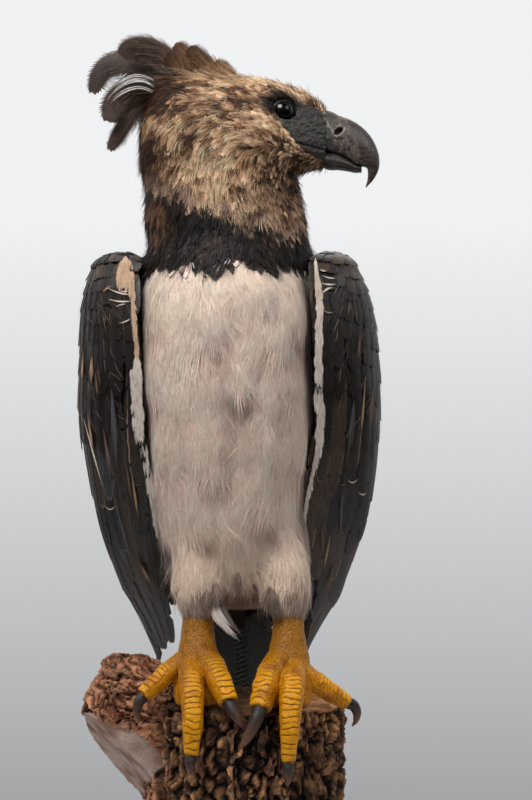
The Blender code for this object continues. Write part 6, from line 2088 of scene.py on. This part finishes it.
# Stage
def area_light(name, place, target, size, power):
    light = bpy.data.lights.new(name, "AREA")
    light.shape = "DISK"
    light.size = size
    light.energy = power
    obj = bpy.data.objects.new(name, light)
    obj.location = place
    obj.rotation_euler = (Vector(target) - Vector(place)).to_track_quat("-Z", "Y").to_euler()
    bpy.context.scene.collection.objects.link(obj)


# Lamps: name, place, the height they point at, size, power
LAMPS = (
    ("key", (-0.58, -1.02, 2.06), 0.82, 0.9, 32),
    ("fill", (1.5, -1.2, 2.1), 0.80, 1.2, 12),
    ("rim", (0.6, 1.9, 2.2), 0.7, 1.2, 9),
)
CAMERA_PLACE = (0.0165, -2.2, 0.63)
CAMERA_LENS = 90
CAMERA_SENSOR = 36
FLOOR_RADIUS = 0.90
FLOOR_HEIGHTS = (-0.0005, -0.004)
# Light of the room below and above, and how strong it is behind the camera and behind the bird
LOW_LIGHT = srgb(146, 147, 150)
HIGH_LIGHT = srgb(240, 241, 242)
CAMERA_SIDE_LIGHT = 0.16
BACKDROP_LIGHT = 1.0


def make_world():
    """A room that is lighter above than below, and dim on the camera's side."""
    world = bpy.data.worlds.new("studio")
    bpy.context.scene.world = world
    world.use_nodes = True
    tree = world.node_tree

    def node(kind, **values):
        made = tree.nodes.new("ShaderNode" + kind)
        for key, value in values.items():
            made.inputs[key].default_value = value
        return made

    coordinates, split = node("TexCoord"), node("SeparateXYZ")
    tree.links.new(coordinates.outputs["Generated"], split.inputs[0])
    up = node("MapRange", **{"From Min": -0.24, "From Max": 0.09})
    tree.links.new(split.outputs[2], up.inputs["Value"])
    forward = node("MapRange", **{"From Min": -0.25, "From Max": 0.25, "To Min": CAMERA_SIDE_LIGHT,
                                  "To Max": BACKDROP_LIGHT})
    tree.links.new(split.outputs[1], forward.inputs["Value"])
    blend = tree.nodes.new("ShaderNodeMix")
    blend.data_type = "RGBA"
    tree.links.new(up.outputs[0], blend.inputs[0])
    blend.inputs[6].default_value = (*LOW_LIGHT, 1)
    blend.inputs[7].default_value = (*HIGH_LIGHT, 1)
    tree.links.new(blend.outputs[2], tree.nodes["Background"].inputs[0])
    tree.links.new(forward.outputs[0], tree.nodes["Background"].inputs[1])


def make_floor():
    floor = Paint("floor", {"Roughness": 0.85})
    floor.finish(floor.mix(floor.noise(3.0), srgb(205, 206, 208), srgb(214, 215, 217)))
    angle = round_angles(96)
    x, y = FLOOR_RADIUS * np.cos(angle), FLOOR_RADIUS * np.sin(angle)
    points, faces = loft(np.array([np.stack([x, y, np.full(96, z)], 1) for z in FLOOR_HEIGHTS]))
    disc = mesh_object("floor", points, faces, floor.material)


def make_camera():
    camera = bpy.data.cameras.new("camera")
    camera.lens = CAMERA_LENS
    camera.sensor_width = CAMERA_SENSOR
    obj = bpy.data.objects.new("camera", camera)
    obj.location = CAMERA_PLACE
    obj.rotation_euler = (math.pi / 2, 0, 0)
    bpy.context.scene.collection.objects.link(obj)
    bpy.context.scene.camera = obj


def make_stage():
    make_world()
    make_floor()
    for name, place, level, size, power in LAMPS:
        area_light(name, place, (0, 0, level), size, power)
    make_camera()
    bpy.context.scene.view_settings.view_transform = "Standard"


def main():
    make_stage()
    paints = make_paints()
    guide = make_flesh()
    make_coat(guide, paints)
    for side in MIRROR:
        make_wing(side, paints)
    make_tail(paints)
    make_crest(paints)
    make_loose_feathers(guide, paints)
    make_crest_barbs(paints)
    make_bill()
    make_eyes()
    legs, claws = leg_paint(), claw_paint()
    for side in MIRROR:
        make_leg(side, legs)
        make_claws(side, claws)
    make_log()


main()
